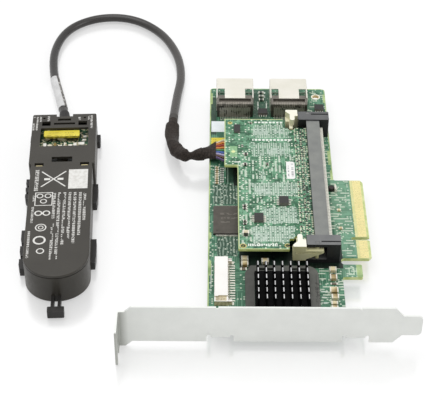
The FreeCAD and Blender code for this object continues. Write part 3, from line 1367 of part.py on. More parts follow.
def make_lid():
    lid = case_form(0, LID_Z, CASE_H)
    lid = round_edges(lid, LID_EDGE, lambda b: b.ZMin > CASE_H - 0.01)
    low = LID_Z - 1
    high = CASE_H + 1
    v1 = WINDOW_START + WINDOW_LENGTH
    tools = [
        plate([
            (WINDOW_LEFT, WINDOW_START, 0.5), (WINDOW_RIGHT, WINDOW_START, 0.5),
            (WINDOW_RIGHT, v1, 0.5), (WINDOW_LEFT, v1, 0.5),
        ], low, high),
        box(-3.0, 3.0, CASE_FAR - 5.6, CASE_FAR - 3.7, low, high),
        box(-4.7, 5.0, CASE_FAR - 8.3, CASE_FAR - 6.9, low, high),
        box(-10.2, -6.3, CASE_FAR - 9.0, CASE_FAR - 5.9, low, high),
        box(6.5, 10.5, CASE_FAR - 9.0, CASE_FAR - 5.9, low, high),
        rod(-9.4, CASE_FAR - 3.2, low, high, 0.6),
        rod(9.4, CASE_FAR - 3.2, low, high, 0.6),
        box(-4.6, 4.6, CASE_NEAR + 1.4, CASE_NEAR + 5.0, low, high),
        box(-12.0, -8.0, CASE_NEAR - 1.5, CASE_NEAR + 0.7, low, high),
        box(8.2, 12.2, CASE_NEAR - 1.5, CASE_NEAR + 0.7, low, high),
        box(-NOTCH_HALF, NOTCH_HALF, CASE_FAR - 2.0, CASE_FAR + 1, low, high),
    ]
    return cut(lid, tools)


def make_cells():
    cells = []
    r = CELL_WIDTH / 2
    step = CELL_LENGTH + CELL_GAP
    for row in range(2):
        a = -r + row * step
        b = a + CELL_LENGTH
        for layer in range(2):
            z0 = CASE_FLOOR + layer * CELL_T
            cell = plate([(-r, a, r), (r, a, r), (r, b, r), (-r, b, r)], z0, z0 + CELL_T)
            edges = [e for e in cell.Edges
                     if e.BoundBox.ZMax - e.BoundBox.ZMin < 0.01]
            cells.append(cell.makeFillet(CELL_EDGE, edges))
    return cells


def make_straps():
    z = CASE_FLOOR + 2 * CELL_T
    v = -CELL_WIDTH / 2 + CELL_LENGTH
    return [
        box(-STRAP_WIDTH / 2, STRAP_WIDTH / 2, v - 5, v + CELL_GAP + 5, z, z + STRAP_T),
        box(STRAP_WIDTH, 2 * STRAP_WIDTH, v + CELL_GAP + 8, v + CELL_GAP + CELL_LENGTH - 9,
            z, z + STRAP_T),
    ]


def case_board():
    w = CASE_FAR_WIDTH / 2 - CASE_WALL - 0.4
    board = plate([
        (-w, CASE_NEAR + CASE_WALL + 0.4, 0.6), (w, CASE_NEAR + CASE_WALL + 0.4, 0.6),
        (w, CASE_FAR - 5.2, 0.6), (4.0, CASE_FAR - 5.2, 0.6), (4.0, CASE_FAR - 11.0, 0.6),
        (-4.0, CASE_FAR - 11.0, 0.6), (-4.0, CASE_FAR - 5.2, 0.6), (-w, CASE_FAR - 5.2, 0.6),
    ], CASE_BOARD_Z, CASE_BOARD_Z + CASE_BOARD_T)
    return board


def case_board_parts():
    z = CASE_BOARD_Z + CASE_BOARD_T
    parts = []
    for u, v, a, b, h in (
        (-9.4, 4.4, 1.4, 2.4, 0.9), (-7.4, 4.2, 2.2, 1.5, 0.8), (-4.6, 4.6, 1.2, 2.2, 0.9),
        (-2.6, 4.2, 1.8, 1.5, 0.7), (0.0, 4.6, 1.2, 2.2, 0.9), (2.0, 4.2, 1.8, 1.5, 0.8),
        (4.4, 4.6, 1.4, 2.2, 0.9), (6.6, 5.0, 2.8, 1.9, 1.0), (8.4, 8.4, 1.8, 1.1, 0.7),
        (8.4, 10.8, 1.8, 1.2, 0.8), (-2.6, -7.6, 4.9, 3.9, 1.4), (7.0, -8.6, 3.0, 1.6, 1.0),
    ):
        v0 = WINDOW_START + v
        parts.append(box(u, u + a, v0, v0 + b, z, z + h))
    return parts


save("battery_case_body", lay(make_case_body()))
save("battery_case_lid", lay(make_lid()))
save("battery_cells", [lay(c) for c in make_cells()])
save("cell_straps", [lay(s) for s in make_straps()])
save("battery_board", lay(case_board()))
save("battery_board_parts", [lay(p) for p in case_board_parts()])

GAUGE_V1 = WINDOW_START + WINDOW_LENGTH - 0.3
g0 = GAUGE_LEFT
g1 = GAUGE_LEFT + GAUGE_WIDTH
v0 = GAUGE_V1 - GAUGE_LENGTH
gauge = plate([(g0, v0, 0.8), (g1, v0, 0.8), (g1, GAUGE_V1, 0.8), (g0, GAUGE_V1, 0.8)],
              LID_Z - GAUGE_T, LID_Z)
gauge = round_edges(gauge, 0.4, lambda b: b.ZMin > LID_Z - 0.01)
base = box(g0 + GAUGE_FOOT, g1 - GAUGE_FOOT, v0 + GAUGE_FOOT, GAUGE_V1 - GAUGE_FOOT,
           CASE_BOARD_Z + CASE_BOARD_T, LID_Z - GAUGE_T)
gauge = fuse([gauge, base])
save("battery_gauge_part", lay(gauge))

# ======================================================================
# Cable: strain relief, jacket, label, sleeve and wires
# ======================================================================


def moved_route():
    """The cable's route, with its ends carried along by the case's end and by the plug."""
    first = lay(Part.Vertex(0, CASE_FAR, 0)).Point - lay(Part.Vertex(0, ROUTE_CASE, 0)).Point
    last = V(PLUG_X0 - ROUTE_PLUG[0], PLUG_Y - ROUTE_PLUG[1], 0)
    count = len(CABLE_ROUTE) - 1
    jacket = []
    for i, point in enumerate(CABLE_ROUTE):
        share = i / count
        jacket.append(tuple(V(*point) + first * (1 - share) + last * share))
    return jacket, [tuple(V(*point) + last) for point in SLEEVE_ROUTE]


JACKET_ROUTE, END_ROUTE = moved_route()


def make_relief():
    """Flange inside the wall, neck through it and a tapered tail outside."""
    z = CASE_H / 2
    neck_r = RELIEF_D / 2 - 0.05
    flange = Part.makeCylinder(RELIEF_FLANGE / 2, 1.2, V(0, CASE_FAR - CASE_WALL - 1.2, z),
                               V(0, 1, 0))
    neck = Part.makeCylinder(neck_r, CASE_WALL + 0.3, V(0, CASE_FAR - CASE_WALL, z), V(0, 1, 0))
    base = fuse([lay(flange), lay(neck)])
    start = lay(Part.Vertex(0, CASE_FAR + 0.3, z)).Point
    along = lay(Part.Vertex(0, 1, 0)).Point - lay(Part.Vertex(0, 0, 0)).Point
    end = V(*JACKET_ROUTE[0])
    leave = V(*JACKET_ROUTE[1]) - end
    leave.normalize()
    middle = (start + end) * 0.5
    lean = along + leave
    lean.normalize()
    rings = [
        Part.Wire([Part.Circle(start, along, neck_r).toShape()]),
        Part.Wire([Part.Circle(middle, lean, (neck_r + RELIEF_TIP / 2) / 2).toShape()]),
        Part.Wire([Part.Circle(end, leave, RELIEF_TIP / 2).toShape()]),
    ]
    tail = Part.makeLoft(rings, True, False)
    return fuse([base, tail])


def make_sleeve():
    begin = V(*JACKET_ROUTE[-1])
    leave = begin - V(*JACKET_ROUTE[-2])
    leave.normalize()
    second = begin + leave * SLEEVE_START
    route = [tuple(begin), tuple(second)] + END_ROUTE
    edges, radii = cord_path(route)
    round_part = tube(edges, SLEEVE_D / 2)
    report("sleeve", edges, radii, SLEEVE_D, round_part)
    end = V(*END_ROUTE[-1])
    along = end - V(*END_ROUTE[-2])
    along.normalize()
    first = Part.Wire([Part.Circle(end, along, SLEEVE_D / 2).toShape()])
    h = SLEEVE_FLAT / 2
    w = SLEEVE_MOUTH / 2
    z = (PLUG_Z0 + PLUG_Z1) / 2
    mouth = outline([(-w, -h, h), (w, -h, h), (w, h, h), (-w, h, h)])
    turn = FreeCAD.Rotation(V(0, 1, 0), V(0, 0, 1), V(1, 0, 0))
    mouth.Placement = FreeCAD.Placement(V(SLEEVE_END_X, PLUG_Y, z), turn)
    flare = Part.makeLoft([first, mouth], True, True)
    return round_part, flare


def harness_wires():
    z = (PLUG_Z0 + PLUG_Z1) / 2
    inner = spread(WIRE_COUNT, (SLEEVE_MOUTH - 2 * WIRE_R) / (WIRE_COUNT - 1), PLUG_Y)
    outer = spread(WIRE_COUNT, WIRE_PITCH, PLUG_Y)
    wires = []
    span = PLUG_X0 - SLEEVE_END_X
    for a, b in zip(inner, outer):
        stations = [
            (SLEEVE_END_X, a), (SLEEVE_END_X + span * 0.2, a),
            (PLUG_X0 - span * 0.2, b), (PLUG_X0, b),
        ]
        rings = [Part.Wire([Part.Circle(V(x, y, z), V(1, 0, 0), WIRE_R).toShape()])
                 for x, y in stations]
        wires.append(Part.makeLoft(rings, True, True))
    return wires


cable_edges, cable_radii = cord_path(JACKET_ROUTE)
jacket = tube(cable_edges, CABLE_D / 2)
report("cable", cable_edges, cable_radii, CABLE_D, jacket)
label_edges = part_of_path(cable_edges, LABEL_START, LABEL_START + LABEL_LENGTH)
label_r = CABLE_D / 2 + LABEL_CLEAR
label = tube(label_edges, label_r + LABEL_T).cut(tube(label_edges, label_r))
sleeve_tube, sleeve_flare = make_sleeve()
save("strain_relief", make_relief())
save("cable_jacket", jacket)
save("cable_label", label)
save("cable_sleeve", sleeve_tube)
save("sleeve_end", sleeve_flare)
save("harness_wires", harness_wires())

# ======================================================================
# Origin at the middle of the footprint, on the floor, and export
# ======================================================================
CORD_NODES = ("cable_jacket", "cable_label", "cable_sleeve", "sleeve_end", "harness_wires",
              "wire_plug")
reach = FreeCAD.BoundBox()
for node, solids in NODES.items():
    if node not in CORD_NODES:
        for solid in solids:
            reach.add(solid.BoundBox)
SHIFT = V(-(reach.XMin + reach.XMax) / 2, -(reach.YMin + reach.YMax) / 2, -reach.ZMin)
print("shift %.4f %.4f %.4f" % (SHIFT.x, SHIFT.y, SHIFT.z))
os.makedirs("parts", exist_ok=True)
for node, solids in NODES.items():
    moved = []
    for solid in solids:
        solid = solid.copy()
        solid.translate(SHIFT)
        moved.append(solid)
    whole = moved[0] if len(moved) == 1 else Part.makeCompound(moved)
    if not whole.isValid():
        print("not valid:", node)
    whole.exportStep("parts/%s.step" % node)
print(len(NODES), "nodes")
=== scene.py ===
import math

import bmesh
import bpy
from mathutils import Matrix, Vector


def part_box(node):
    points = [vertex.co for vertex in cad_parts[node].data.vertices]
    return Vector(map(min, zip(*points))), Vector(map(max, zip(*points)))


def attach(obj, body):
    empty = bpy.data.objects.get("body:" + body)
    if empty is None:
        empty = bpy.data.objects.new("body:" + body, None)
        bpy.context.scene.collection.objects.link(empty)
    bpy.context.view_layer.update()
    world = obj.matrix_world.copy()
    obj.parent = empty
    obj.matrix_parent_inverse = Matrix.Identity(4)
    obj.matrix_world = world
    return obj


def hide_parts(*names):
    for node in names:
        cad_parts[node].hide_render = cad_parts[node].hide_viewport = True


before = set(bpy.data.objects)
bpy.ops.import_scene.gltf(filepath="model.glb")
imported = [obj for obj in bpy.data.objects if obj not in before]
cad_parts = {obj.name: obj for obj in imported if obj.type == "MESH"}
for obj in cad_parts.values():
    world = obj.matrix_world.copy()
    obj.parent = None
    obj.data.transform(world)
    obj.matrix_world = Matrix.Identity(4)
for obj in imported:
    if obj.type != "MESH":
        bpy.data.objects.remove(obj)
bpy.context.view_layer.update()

bl_info = {
    "name": "Disk Controller Card",
    "version": (1, 0, 0),
    "blender": (4, 5, 0),
    "location": "3D View > Sidebar > Card",
    "description": "Dresses a disk controller card with its module, battery pack and cable",
    "category": "Object",
}

MM = 0.001
ORIGIN = (0, 0, 0)

# ---- Places on the card, read from its solids ----
BOARD_LO, BOARD_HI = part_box("main_board")
MODULE_LO, MODULE_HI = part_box("module_board")
SINK_LO, SINK_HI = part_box("heatsink")
PLUG_LO, PLUG_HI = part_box("wire_plug")
BOARD_TOP = (BOARD_LO.x, BOARD_LO.y, BOARD_HI.z)
STEP_X, STEP_Y = 5.8, 56.5  # the step in the module's left side, in millimetres


# ---- Nodes and the sums between them ----

def paint(tone):
    """A colour written as on screen, as linear light. Any other value stays as it is."""
    if not isinstance(tone, str):
        return tone
    parts = [int(tone[i:i + 2], 16) / 255 for i in (0, 2, 4)]
    return [c / 12.92 if c <= 0.04045 else ((c + 0.055) / 1.055) ** 2.4 for c in parts] + [1.0]


def shade(tone, share):
    """A colour made darker or lighter by a share."""
    return [min(1.0, c * share) for c in paint(tone)[:3]] + [1.0]


def feed(socket, value):
    """Links a value into a node's input, or sets a plain number or colour there."""
    if isinstance(value, Value):
        socket.id_data.links.new(value.socket, socket)
    else:
        socket.default_value = paint(value)


def add(tree, kind, *values, out=0, **options):
    """Adds a node with its options and its first inputs, and gives one of its outputs."""
    made = tree.nodes.new("ShaderNode" + kind)
    for key, option in options.items():
        setattr(made, key, option)
    for socket, value in zip(made.inputs, values):
        feed(socket, value)
    return Value(made.outputs[out])


def tree_of(*values):
    """The material or world whose nodes the values belong to."""
    return next(value.tree for value in values if isinstance(value, Value))


def reckon(operation, a, b=0.0):
    return add(tree_of(a, b), "Math", a, b, operation=operation)


class Value:
    """A node's output. A sum of values adds nodes, and a comparison is 1 where it holds."""

    def __init__(self, socket):
        self.socket = socket
        self.tree = socket.id_data

    def __add__(self, other):
        return reckon("ADD", self, other)

    def __sub__(self, other):
        return reckon("SUBTRACT", self, other)

    def __rsub__(self, other):
        return reckon("SUBTRACT", other, self)

    def __mul__(self, other):
        return reckon("MULTIPLY", self, other)

    def __truediv__(self, other):
        return reckon("DIVIDE", self, other)

    def __floordiv__(self, other):
        return reckon("FLOOR", self / other)

    def __floor__(self):
        return reckon("FLOOR", self)

    def __abs__(self):
        return reckon("ABSOLUTE", self)

    def __gt__(self, other):
        return reckon("GREATER_THAN", self, other)

    def __le__(self, other):
        return 1 - (self > other)

    def within(self, low, high):
        return (self > low) * (self <= high)

    def off_centre(self, pitch):
        """How far a place is from the middle of its cell, as a share of the cell."""
        return abs(reckon("FRACT", self / pitch) - 0.5)

    def spread(self, low, high, to_low=0, to_high=1):
        """One range laid over another, and held at both ends."""
        return add(self.tree, "MapRange", self, low, high, to_low, to_high, out="Result")


def most(whole, *others):
    for other in others:
        whole = reckon("MAXIMUM", whole, other)
    return whole


def chance(x, y, seed=0):
    """A number from 0 to 1 that is the same all over one cell."""
    tree = tree_of(x, y)
    cell = add(tree, "CombineXYZ", x, y, seed)
    return add(tree, "TexWhiteNoise", cell, noise_dimensions="3D", out="Value")


def distance(x, y):
    return reckon("SQRT", x * x + y * y)


def seen(tree):
    """1 for a camera's ray, and for one that reaches the camera by a mirror or glass."""
    rays = [add(tree, "LightPath", out="Is " + kind + " Ray")
        for kind in ("Camera", "Glossy", "Transmission")]
    return most(*rays)


# ---- Masks: 1 on the form they name, 0 elsewhere, with places in millimetres ----

def rect(x, y, x0, x1, y0, y1):
    return x.within(x0, x1) * y.within(y0, y1)


def rects(x, y, *sizes):
    return most(*[rect(x, y, *size) for size in sizes])


def spot(x, y, across, along, radius):
    return distance(x - across, y - along) <= radius


def tracks(x, y, seed, pitch=0.9, run=7):
    """Straight tracks along Y, some present and some not."""
    column = x // pitch
    row = (y + chance(column, 3, seed) * run) // run
    return (x.off_centre(pitch) <= 0.2) * (chance(column, row, seed + 1) > 0.5)


def vias(x, y, seed, pitch, radius, share):
    """Small round pads on a grid, some present."""
    away = distance(x.off_centre(pitch), y.off_centre(pitch))
    return (away <= radius) * (chance(x // pitch, y // pitch, seed) <= share)


def strokes(x, y, seed, pitch, length, thick, share):
    """Short bars along X in rows, like pads and print too small to read."""
    row = y // pitch
    cell = (x + chance(row, 5, seed) * length) // length
    return (y.off_centre(pitch) <= thick) * (chance(cell, row, seed + 1) <= share)


# ---- Finishes ----

class Finish:
    """A material whose colour, the coat, is laid down one short call at a time."""

    def __init__(self, name, roughness, metallic=0.0, specular=0.5):
        self.material = bpy.data.materials.new(name)
        self.material.use_nodes = True
        self.tree = self.material.node_tree
        self.shader = self.tree.nodes["Principled BSDF"].inputs
        feed(self.shader["Roughness"], roughness)
        feed(self.shader["Metallic"], metallic)
        feed(self.shader["Specular IOR Level"], specular)
        self.place = self.add("TexCoord", out="Object")
        self.coat = None

    def add(self, kind, *values, **options):
        return add(self.tree, kind, *values, **options)

    def local(self, origin, turn=0.0):
        """X, Y and Z in millimetres from an origin, optionally turned about Z."""
        whole = self.add("VectorMath", self.place, origin, operation="SUBTRACT")
        whole = self.add("VectorMath", whole, ORIGIN, ORIGIN, 1 / MM, operation="SCALE")
        if turn:
            whole = self.add("VectorRotate", whole, ORIGIN, (0, 0, 1), -turn,
                rotation_type="Z_AXIS")
        return [self.add("SeparateXYZ", whole, out=axis) for axis in "XYZ"]

    def facing(self, axis="Z", edge=0.6):
        """1 where the surface faces along an axis, by default up."""
        normal = self.add("NewGeometry", out="Normal")
        return self.add("SeparateXYZ", normal, out=axis) > edge

    def noise(self, scale, detail, place=None):
        return self.add("TexNoise", place or self.place, 0, scale, detail)

    def ramp(self, value, stops, constant=False):
        """A colour for each height of a value, from stops of (height, colour)."""
        made = self.add("ValToRGB", value)
        bar = made.socket.node.color_ramp
        bar.interpolation = "CONSTANT" if constant else "LINEAR"
        while len(bar.elements) < len(stops):
            bar.elements.new(1.0)
        for element, (position, tone) in zip(bar.elements, stops):
            element.position = position
            element.color = paint(tone)
        return made

    def tones(self, value, dark, light, low=0.3, high=0.7):
        return self.ramp(value, [(low, dark), (high, light)])

    def mix(self, scale, detail, dark, light, low=0.3, high=0.7):
        """Cloudy patches of two tones."""
        return self.tones(self.noise(scale, detail), dark, light, low, high)

    def blend(self, amount, a, b):
        made = self.add("Mix", amount, data_type="RGBA", out=2)
        feed(made.socket.node.inputs[6], a)
        feed(made.socket.node.inputs[7], b)
        return made

    def lay(self, tone, mask):
        """Lays a tone over the coat where a mask is."""
        self.coat = self.blend(mask, self.coat, tone)

    def grain(self, given):
        return self.noise(*given) if isinstance(given, tuple) else given

    def close(self, gloss=None, relief=None):
        """Ends a finish. Gloss is (grain, low, high) and relief is (grain, depth,
        strength), where a grain is a value or the (scale, detail) of a noise."""
        feed(self.shader["Base Color"], self.coat)
        if gloss:
            grain, low, high = gloss
            feed(self.shader["Roughness"], self.grain(grain).spread(0.3, 0.7, low, high))
        if relief:
            grain, depth, strength = relief
            bump = self.add("Bump", strength, depth)
            feed(bump.socket.node.inputs["Height"], self.grain(grain))
            feed(self.shader["Normal"], bump)
        return self.material

    def close_streaked(self, stretch, low, high):
        """Ends a metal finish with fine streaks in its gloss and its relief."""
        place = self.add("Mapping", self.place, ORIGIN, ORIGIN, stretch)
        streaks = self.noise(2600, 3, place)
        return self.close((streaks, low, high), (streaks, 0.00001, 0.35))


def moulded(name, tone, roughness, mottle=0.12, grain=0.00004, sides=None, specular=0.5):
    """Moulded plastic: a fine grain and a slight unevenness of colour and gloss."""
    f = Finish(name, roughness, specular=specular)
    f.coat = f.mix(90, 3, shade(tone, 1 - mottle), shade(tone, 1 + mottle))
    if sides:
        f.coat = f.blend(f.facing(), sides, f.coat)
    return f.close(((340, 4), roughness - 0.06, roughness + 0.06), ((5200, 2), grain, 0.5))


def sheet_metal(name, tone, roughness, metallic, mottle=0.07):
    """Plated sheet: fine streaks and faint cloudy patches."""
    f = Finish(name, roughness, metallic)
    f.coat = f.mix(120, 4, shade(tone, 1 - mottle), shade(tone, 1 + mottle))
    return f.close_streaked((1, 1, 1), roughness - 0.05, roughness + 0.07)


def dress(nodes, material):
    """Gives one material to solids of the card, named with a space between them."""
    for node in nodes.split():
        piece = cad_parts[node]
        if not piece.material_slots:
            piece.data.materials.append(None)
        for place in piece.material_slots:
            place.material = material


# ---- Modelling steps ----

def clear():
    if bpy.context.object and bpy.context.object.mode != "OBJECT":
        bpy.ops.object.mode_set(mode="OBJECT")
    bpy.ops.object.select_all(action="DESELECT")


def stand(name, data):
    """Puts a new object into the scene."""
    piece = bpy.data.objects.new(name, data)
    bpy.context.scene.collection.objects.link(piece)
    return piece


def take(piece):
    clear()
    piece.select_set(True)
    bpy.context.view_layer.objects.active = piece


def block(name, lo, hi):
    """A box between two corners, ready to be shaped."""
    clear()
    centre = (Vector(lo) + Vector(hi)) / 2
    size = Vector(hi) - Vector(lo)
    bpy.ops.mesh.primitive_cube_add(size=1, location=centre, scale=size)
    piece = bpy.context.object
    piece.name = name
    take(piece)
    bpy.ops.object.transform_apply(location=True, rotation=True, scale=True)
    return piece


def soften(piece, width, segments):
    """Breaks a piece's edges."""
    take(piece)
    edge = piece.modifiers.new("soft edges", "BEVEL")
    edge.width = width
    edge.segments = segments
    edge.limit_method = "ANGLE"
    edge.angle_limit = math.radians(30)
    bpy.ops.object.modifier_apply(modifier=edge.name)
    return piece


def pick(piece, kind, test):
    """Goes into edit mode with only the faces or edges that pass the test selected."""
    take(piece)
    bpy.ops.object.mode_set(mode="EDIT")
    bpy.ops.mesh.select_mode(type=kind)
    bpy.ops.mesh.select_all(action="DESELECT")
    mesh = bmesh.from_edit_mesh(piece.data)
    for part in (mesh.faces if kind == "FACE" else mesh.edges):
        part.select_set(test(part))
    bmesh.update_edit_mesh(piece.data)


def done():
    bpy.ops.object.mode_set(mode="OBJECT")


def pull(piece, test, by, rim=0.0):
    """Pulls the faces that pass the test out of a piece, inside a rim if it has one."""
    pick(piece, "FACE", test)
    if rim:
        bpy.ops.mesh.inset(thickness=rim, depth=0.0)
    bpy.ops.mesh.extrude_region_move(TRANSFORM_OT_translate={"value": by})
    done()


def together(name, pieces):
    """Joins pieces into one object."""
    clear()
    for one in pieces:
        one.select_set(True)
    bpy.context.view_layer.objects.active = pieces[0]
    bpy.ops.object.join()
    whole = bpy.context.object
    whole.name = name
    return whole


def finish_piece(piece, material, body="card"):
    """Gives a new piece its finish and its body."""
    piece.data.materials.clear()
    piece.data.materials.append(material)
    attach(piece, body)
    return piece


def part_boxes(node):
    """The lowest and highest corners of each separate part of a node."""
    mesh = bmesh.new()
    mesh.from_mesh(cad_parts[node].data)
    bmesh.ops.remove_doubles(mesh, verts=mesh.verts, dist=0.000002)
    left = set(mesh.verts)
    boxes = []
    while left:
        found = [left.pop()]
        for vert in found:
            for edge in vert.link_edges:
                other = edge.other_vert(vert)
                if other in left:
                    left.remove(other)
                    found.append(other)
        places = [v.co for v in found]
        boxes.append([Vector([end(p[i] for p in places) for i in range(3)])
            for end in (min, max)])
    mesh.free()
    return sorted(boxes, key=lambda pair: tuple(pair[0]))


# ---- Sizes and colours a user would change ----

class StudioSettings(bpy.types.PropertyGroup):
    camera_height: bpy.props.FloatProperty(name="Camera Height",
        description="Height of the camera above the table", default=0.388717, unit="LENGTH")
    lens: bpy.props.FloatProperty(name="Lens",
        description="Focal length for a 36 mm wide frame, in millimetres", default=110.46,
        min=20.0)
    ambient: bpy.props.FloatProperty(name="Ambient",
        description="Strength of the even light from all round", default=0.62, min=0.0)
    key: bpy.props.FloatProperty(name="Key",
        description="Strength of the large lamp overhead, in watts", default=5.2, min=0.0)


class CableSettings(bpy.types.PropertyGroup):
    diameter: bpy.props.FloatProperty(name="Diameter",
        description="Outside diameter of the cable's jacket", default=0.0042, min=0.001,
        unit="LENGTH")
    jacket: bpy.props.FloatVectorProperty(name="Jacket",
        description="Colour of the cable's jacket", default=paint("2a2725")[:3], size=3,
        subtype="COLOR")


class PackSettings(bpy.types.PropertyGroup):
    pivot: bpy.props.FloatVectorProperty(name="Pivot",
        description="Centre of the battery case's round end, on the table",
        default=(-0.0629514, -0.04069, 0.0), size=3, subtype="TRANSLATION", unit="LENGTH")
    turn: bpy.props.FloatProperty(name="Turn",
        description="How far the battery is turned on the table", default=math.radians(3.0),
        subtype="ANGLE")


# ---- The stage ----
CAMERA_PLACE = (0.0033306, -0.458158)  # across and along, in metres
CAMERA_TURN = (50.42166, -0.40242, 0.09085)  # in degrees
TABLE_GLOW = 0.62  # share of white light that the table adds to what is seen of it
TABLE_MIRROR = 0.22  # share of it that is a soft mirror
# name, place, width in metres, share of the key lamp's power
LAMPS = (("overhead lamp", (-0.25, 0.15, 0.95), 0.9, 1.0),
    ("side lamp", (0.85, -0.1, 0.45), 0.5, 0.35))


def set_camera(context, studio):
    data = bpy.data.cameras.new("camera")
    data.lens = studio.lens
    data.sensor_width = 36.0
    data.clip_start = 0.02
    data.clip_end = 20.0
    camera = stand("camera", data)
    camera.location = (*CAMERA_PLACE, studio.camera_height)
    camera.rotation_euler = [math.radians(angle) for angle in CAMERA_TURN]
    context.scene.camera = camera


def lay_table():
    """A pale table. What the camera sees of it glows a little and mirrors a little."""
    clear()
    bpy.ops.mesh.primitive_plane_add(size=6, location=(0, 0, -0.0003))
    table = bpy.context.object
    table.name = "table"
    f = Finish("pale table", 0.3)
    f.coat = f.mix(3, 2, "fbfbfb", "fefefe")
    f.close()
    plain = Value(f.tree.nodes["Principled BSDF"].outputs[0])
    lit = f.add("MixShader", seen(f.tree) * TABLE_GLOW, plain, f.add("Emission"))
    camera = f.add("LightPath", out="Is Camera Ray")
    mirror = f.add("BsdfGlossy", "ffffff", 0.2)
    top = f.add("MixShader", camera * TABLE_MIRROR, lit, mirror)
    feed(f.tree.nodes["Material Output"].inputs["Surface"], top)
    table.data.materials.append(f.material)


def hang_lamps(context, studio):
    world = bpy.data.worlds.new("studio")
    context.scene.world = world
    world.use_nodes = True
    back = world.node_tree.nodes["Background"].inputs
    feed(back["Color"], "ffffff")
    feed(back["Strength"], seen(world.node_tree).spread(0, 1, studio.ambient))
    for name, place, width, share in LAMPS:
        data = bpy.data.lights.new(name, "AREA")
        data.size = width
        data.energy = studio.key * share
        lamp = stand(name, data)
        lamp.location = place
        lamp.rotation_euler = (-Vector(place)).to_track_quat("-Z", "Y").to_euler()


class StageOperator(bpy.types.Operator):
    """Set up the table, the lamps and the camera"""
    bl_idname = "card.set_stage"
    bl_label = "Set Stage"

    def execute(self, context):
        studio = context.scene.studio_settings
        set_camera(context, studio)
        lay_table()
        hang_lamps(context, studio)
        context.scene.view_settings.view_transform = "Standard"
        return {"FINISHED"}


# ---- The cable ----
# Centre lines in metres: the jacket from the battery, and the sleeve from the jacket's end
ROUTE = ((-0.0696514, 0.06721, 0.0070), (-0.0735514, 0.08491, 0.0046),
    (-0.0788514, 0.10601, 0.0024), (-0.0812514, 0.12911, 0.0022), (-0.0758514, 0.15021, 0.0022),
    (-0.0610514, 0.16161, 0.0022), (-0.0423514, 0.16141, 0.0022), (-0.0265514, 0.14781, 0.0022),
    (-0.0174514, 0.12771, 0.0022), (-0.0145514, 0.10711, 0.0022), (-0.0169514, 0.08741, 0.0024),
    (-0.0178514, 0.06991, 0.0033))
SLEEVE = ((-0.0186214, 0.05495, 0.00407), (-0.0166514, 0.04281, 0.0060),
    (-0.0133514, 0.03631, 0.0074), (-0.0087514, 0.03321, 0.0084), (-0.0033514, 0.03461, 0.0090))
LABELLED = (0.0052, 0.0362)  # where its label starts and ends along the jacket
WIRES = ("54406e", "5a3824", "b9b3d8", "3a63b4", "4a8a4a", "e08a3c", "a63a2c", "e8913f", "efe3c4")


def spline(name, points, thick=0.0):
    """A smooth line through the air, guided by a few points."""
    data = bpy.data.curves.new(name, "CURVE")
    data.dimensions = "3D"
    line = data.splines.new("NURBS")
    line.points.add(len(points) - 1)
    for spot, place in zip(line.points, points):
        spot.co = (*place, 1.0)
    line.order_u = 3
    line.use_endpoint_u = True
    data.resolution_u = 12
    data.bevel_depth = thick
    data.bevel_resolution = 6
    data.use_fill_caps = True
    return stand(name, data)


def line_of(points):
    """Points along the smooth line that a few points guide."""
    guide = spline("guide", points)
    bpy.context.view_layer.update()
    mesh = bpy.data.meshes.new_from_object(guide)
    places = [v.co.copy() for v in mesh.vertices]
    bpy.data.meshes.remove(mesh)
    bpy.data.objects.remove(guide)
    return places


def stretch_of(places, start, end):
    """The places between two distances along a line, with its ends cut there."""
    kept = []
    gone = 0.0
    for a, b in zip(places, places[1:]):
        step = (b - a).length
        for at in (start, end):
            if gone <= at < gone + step:
                kept.append(a.lerp(b, (at - gone) / step))
        if start < gone + step < end:
            kept.append(b)
        gone += step
    return kept


def tube_along(name, places, rings):
    """A tube skinned along places. Each ring is (half width, half height, twist)."""
    count = 20
    made = bmesh.new()
    side = Vector((0, 0, 1))
    loops = []
    for i, place in enumerate(places):
        ahead = places[min(i + 1, len(places) - 1)]
        behind = places[max(i - 1, 0)]
        along = (ahead - behind).normalized()
        across = along.cross(side).normalized()
        upward = across.cross(along).normalized()
        wide, high, twist = rings(i / (len(places) - 1))
        loop = []
        for j in range(count):
            angle = math.tau * j / count
            x = wide * math.cos(angle)
            y = high * math.sin(angle)
            u = x * math.cos(twist) - y * math.sin(twist)
            v = x * math.sin(twist) + y * math.cos(twist)
            loop.append(made.verts.new(place + across * u + upward * v))
        loops.append(loop)
    for one, two in zip(loops, loops[1:]):
        for j in range(count):
            k = (j + 1) % count
            made.faces.new((one[j], one[k], two[k], two[j]))
    made.faces.new(list(reversed(loops[0])))
    made.faces.new(loops[-1])
    bmesh.ops.recalc_face_normals(made, faces=made.faces)
    data = bpy.data.meshes.new(name)
    made.to_mesh(data)
    made.free()
    piece = stand(name, data)
    take(piece)
    bpy.ops.object.shade_smooth_by_angle(angle=math.radians(50))
    return piece


def jacket_finish(cable):
    """Dark rubber, with painted shade in its left turn and a painted highlight along its right
    side.
    """
    f = Finish("cable jacket", 0.3)
    x, y, z = f.local(ROUTE[0])
    f.coat = f.mix(70, 4, shade(cable.jacket, 0.8), shade(cable.jacket, 1))
    # Painted shade: darker in the cable's left turn.
    f.lay("0f0e0e", x.spread(4, -8) * (y <= 80) * 0.45)
    # Painted highlight: paler along the cable's right side.
    f.lay("5c5855", x.spread(38, 54) * 0.35)
    return f.close(((420, 3), 0.25, 0.36), ((1500, 3), 0.00005, 0.5))


def cable_label_finish():
    """Paper at its start; past a slanting edge along its right side it is greyed by painted
    shade, mottled like print.
    """
    f = Finish("cable label", 0.5)
    x, y, z = f.local(ROUTE[1])
    shaded_side = f.ramp(f.noise(700, 2), [(0.4, "45423e"), (0.55, "777470"), (0.66, "b4b2ae")])
    f.coat = f.mix(300, 3, "c6c6c6", "d6d6d6")
    # Painted shade: the right side past the edge is grey, with print-like mottle.
    f.lay(shaded_side, x + y * 0.235 > 0.75)
    return f.close(relief=((900, 3), 0.00005, 0.5))


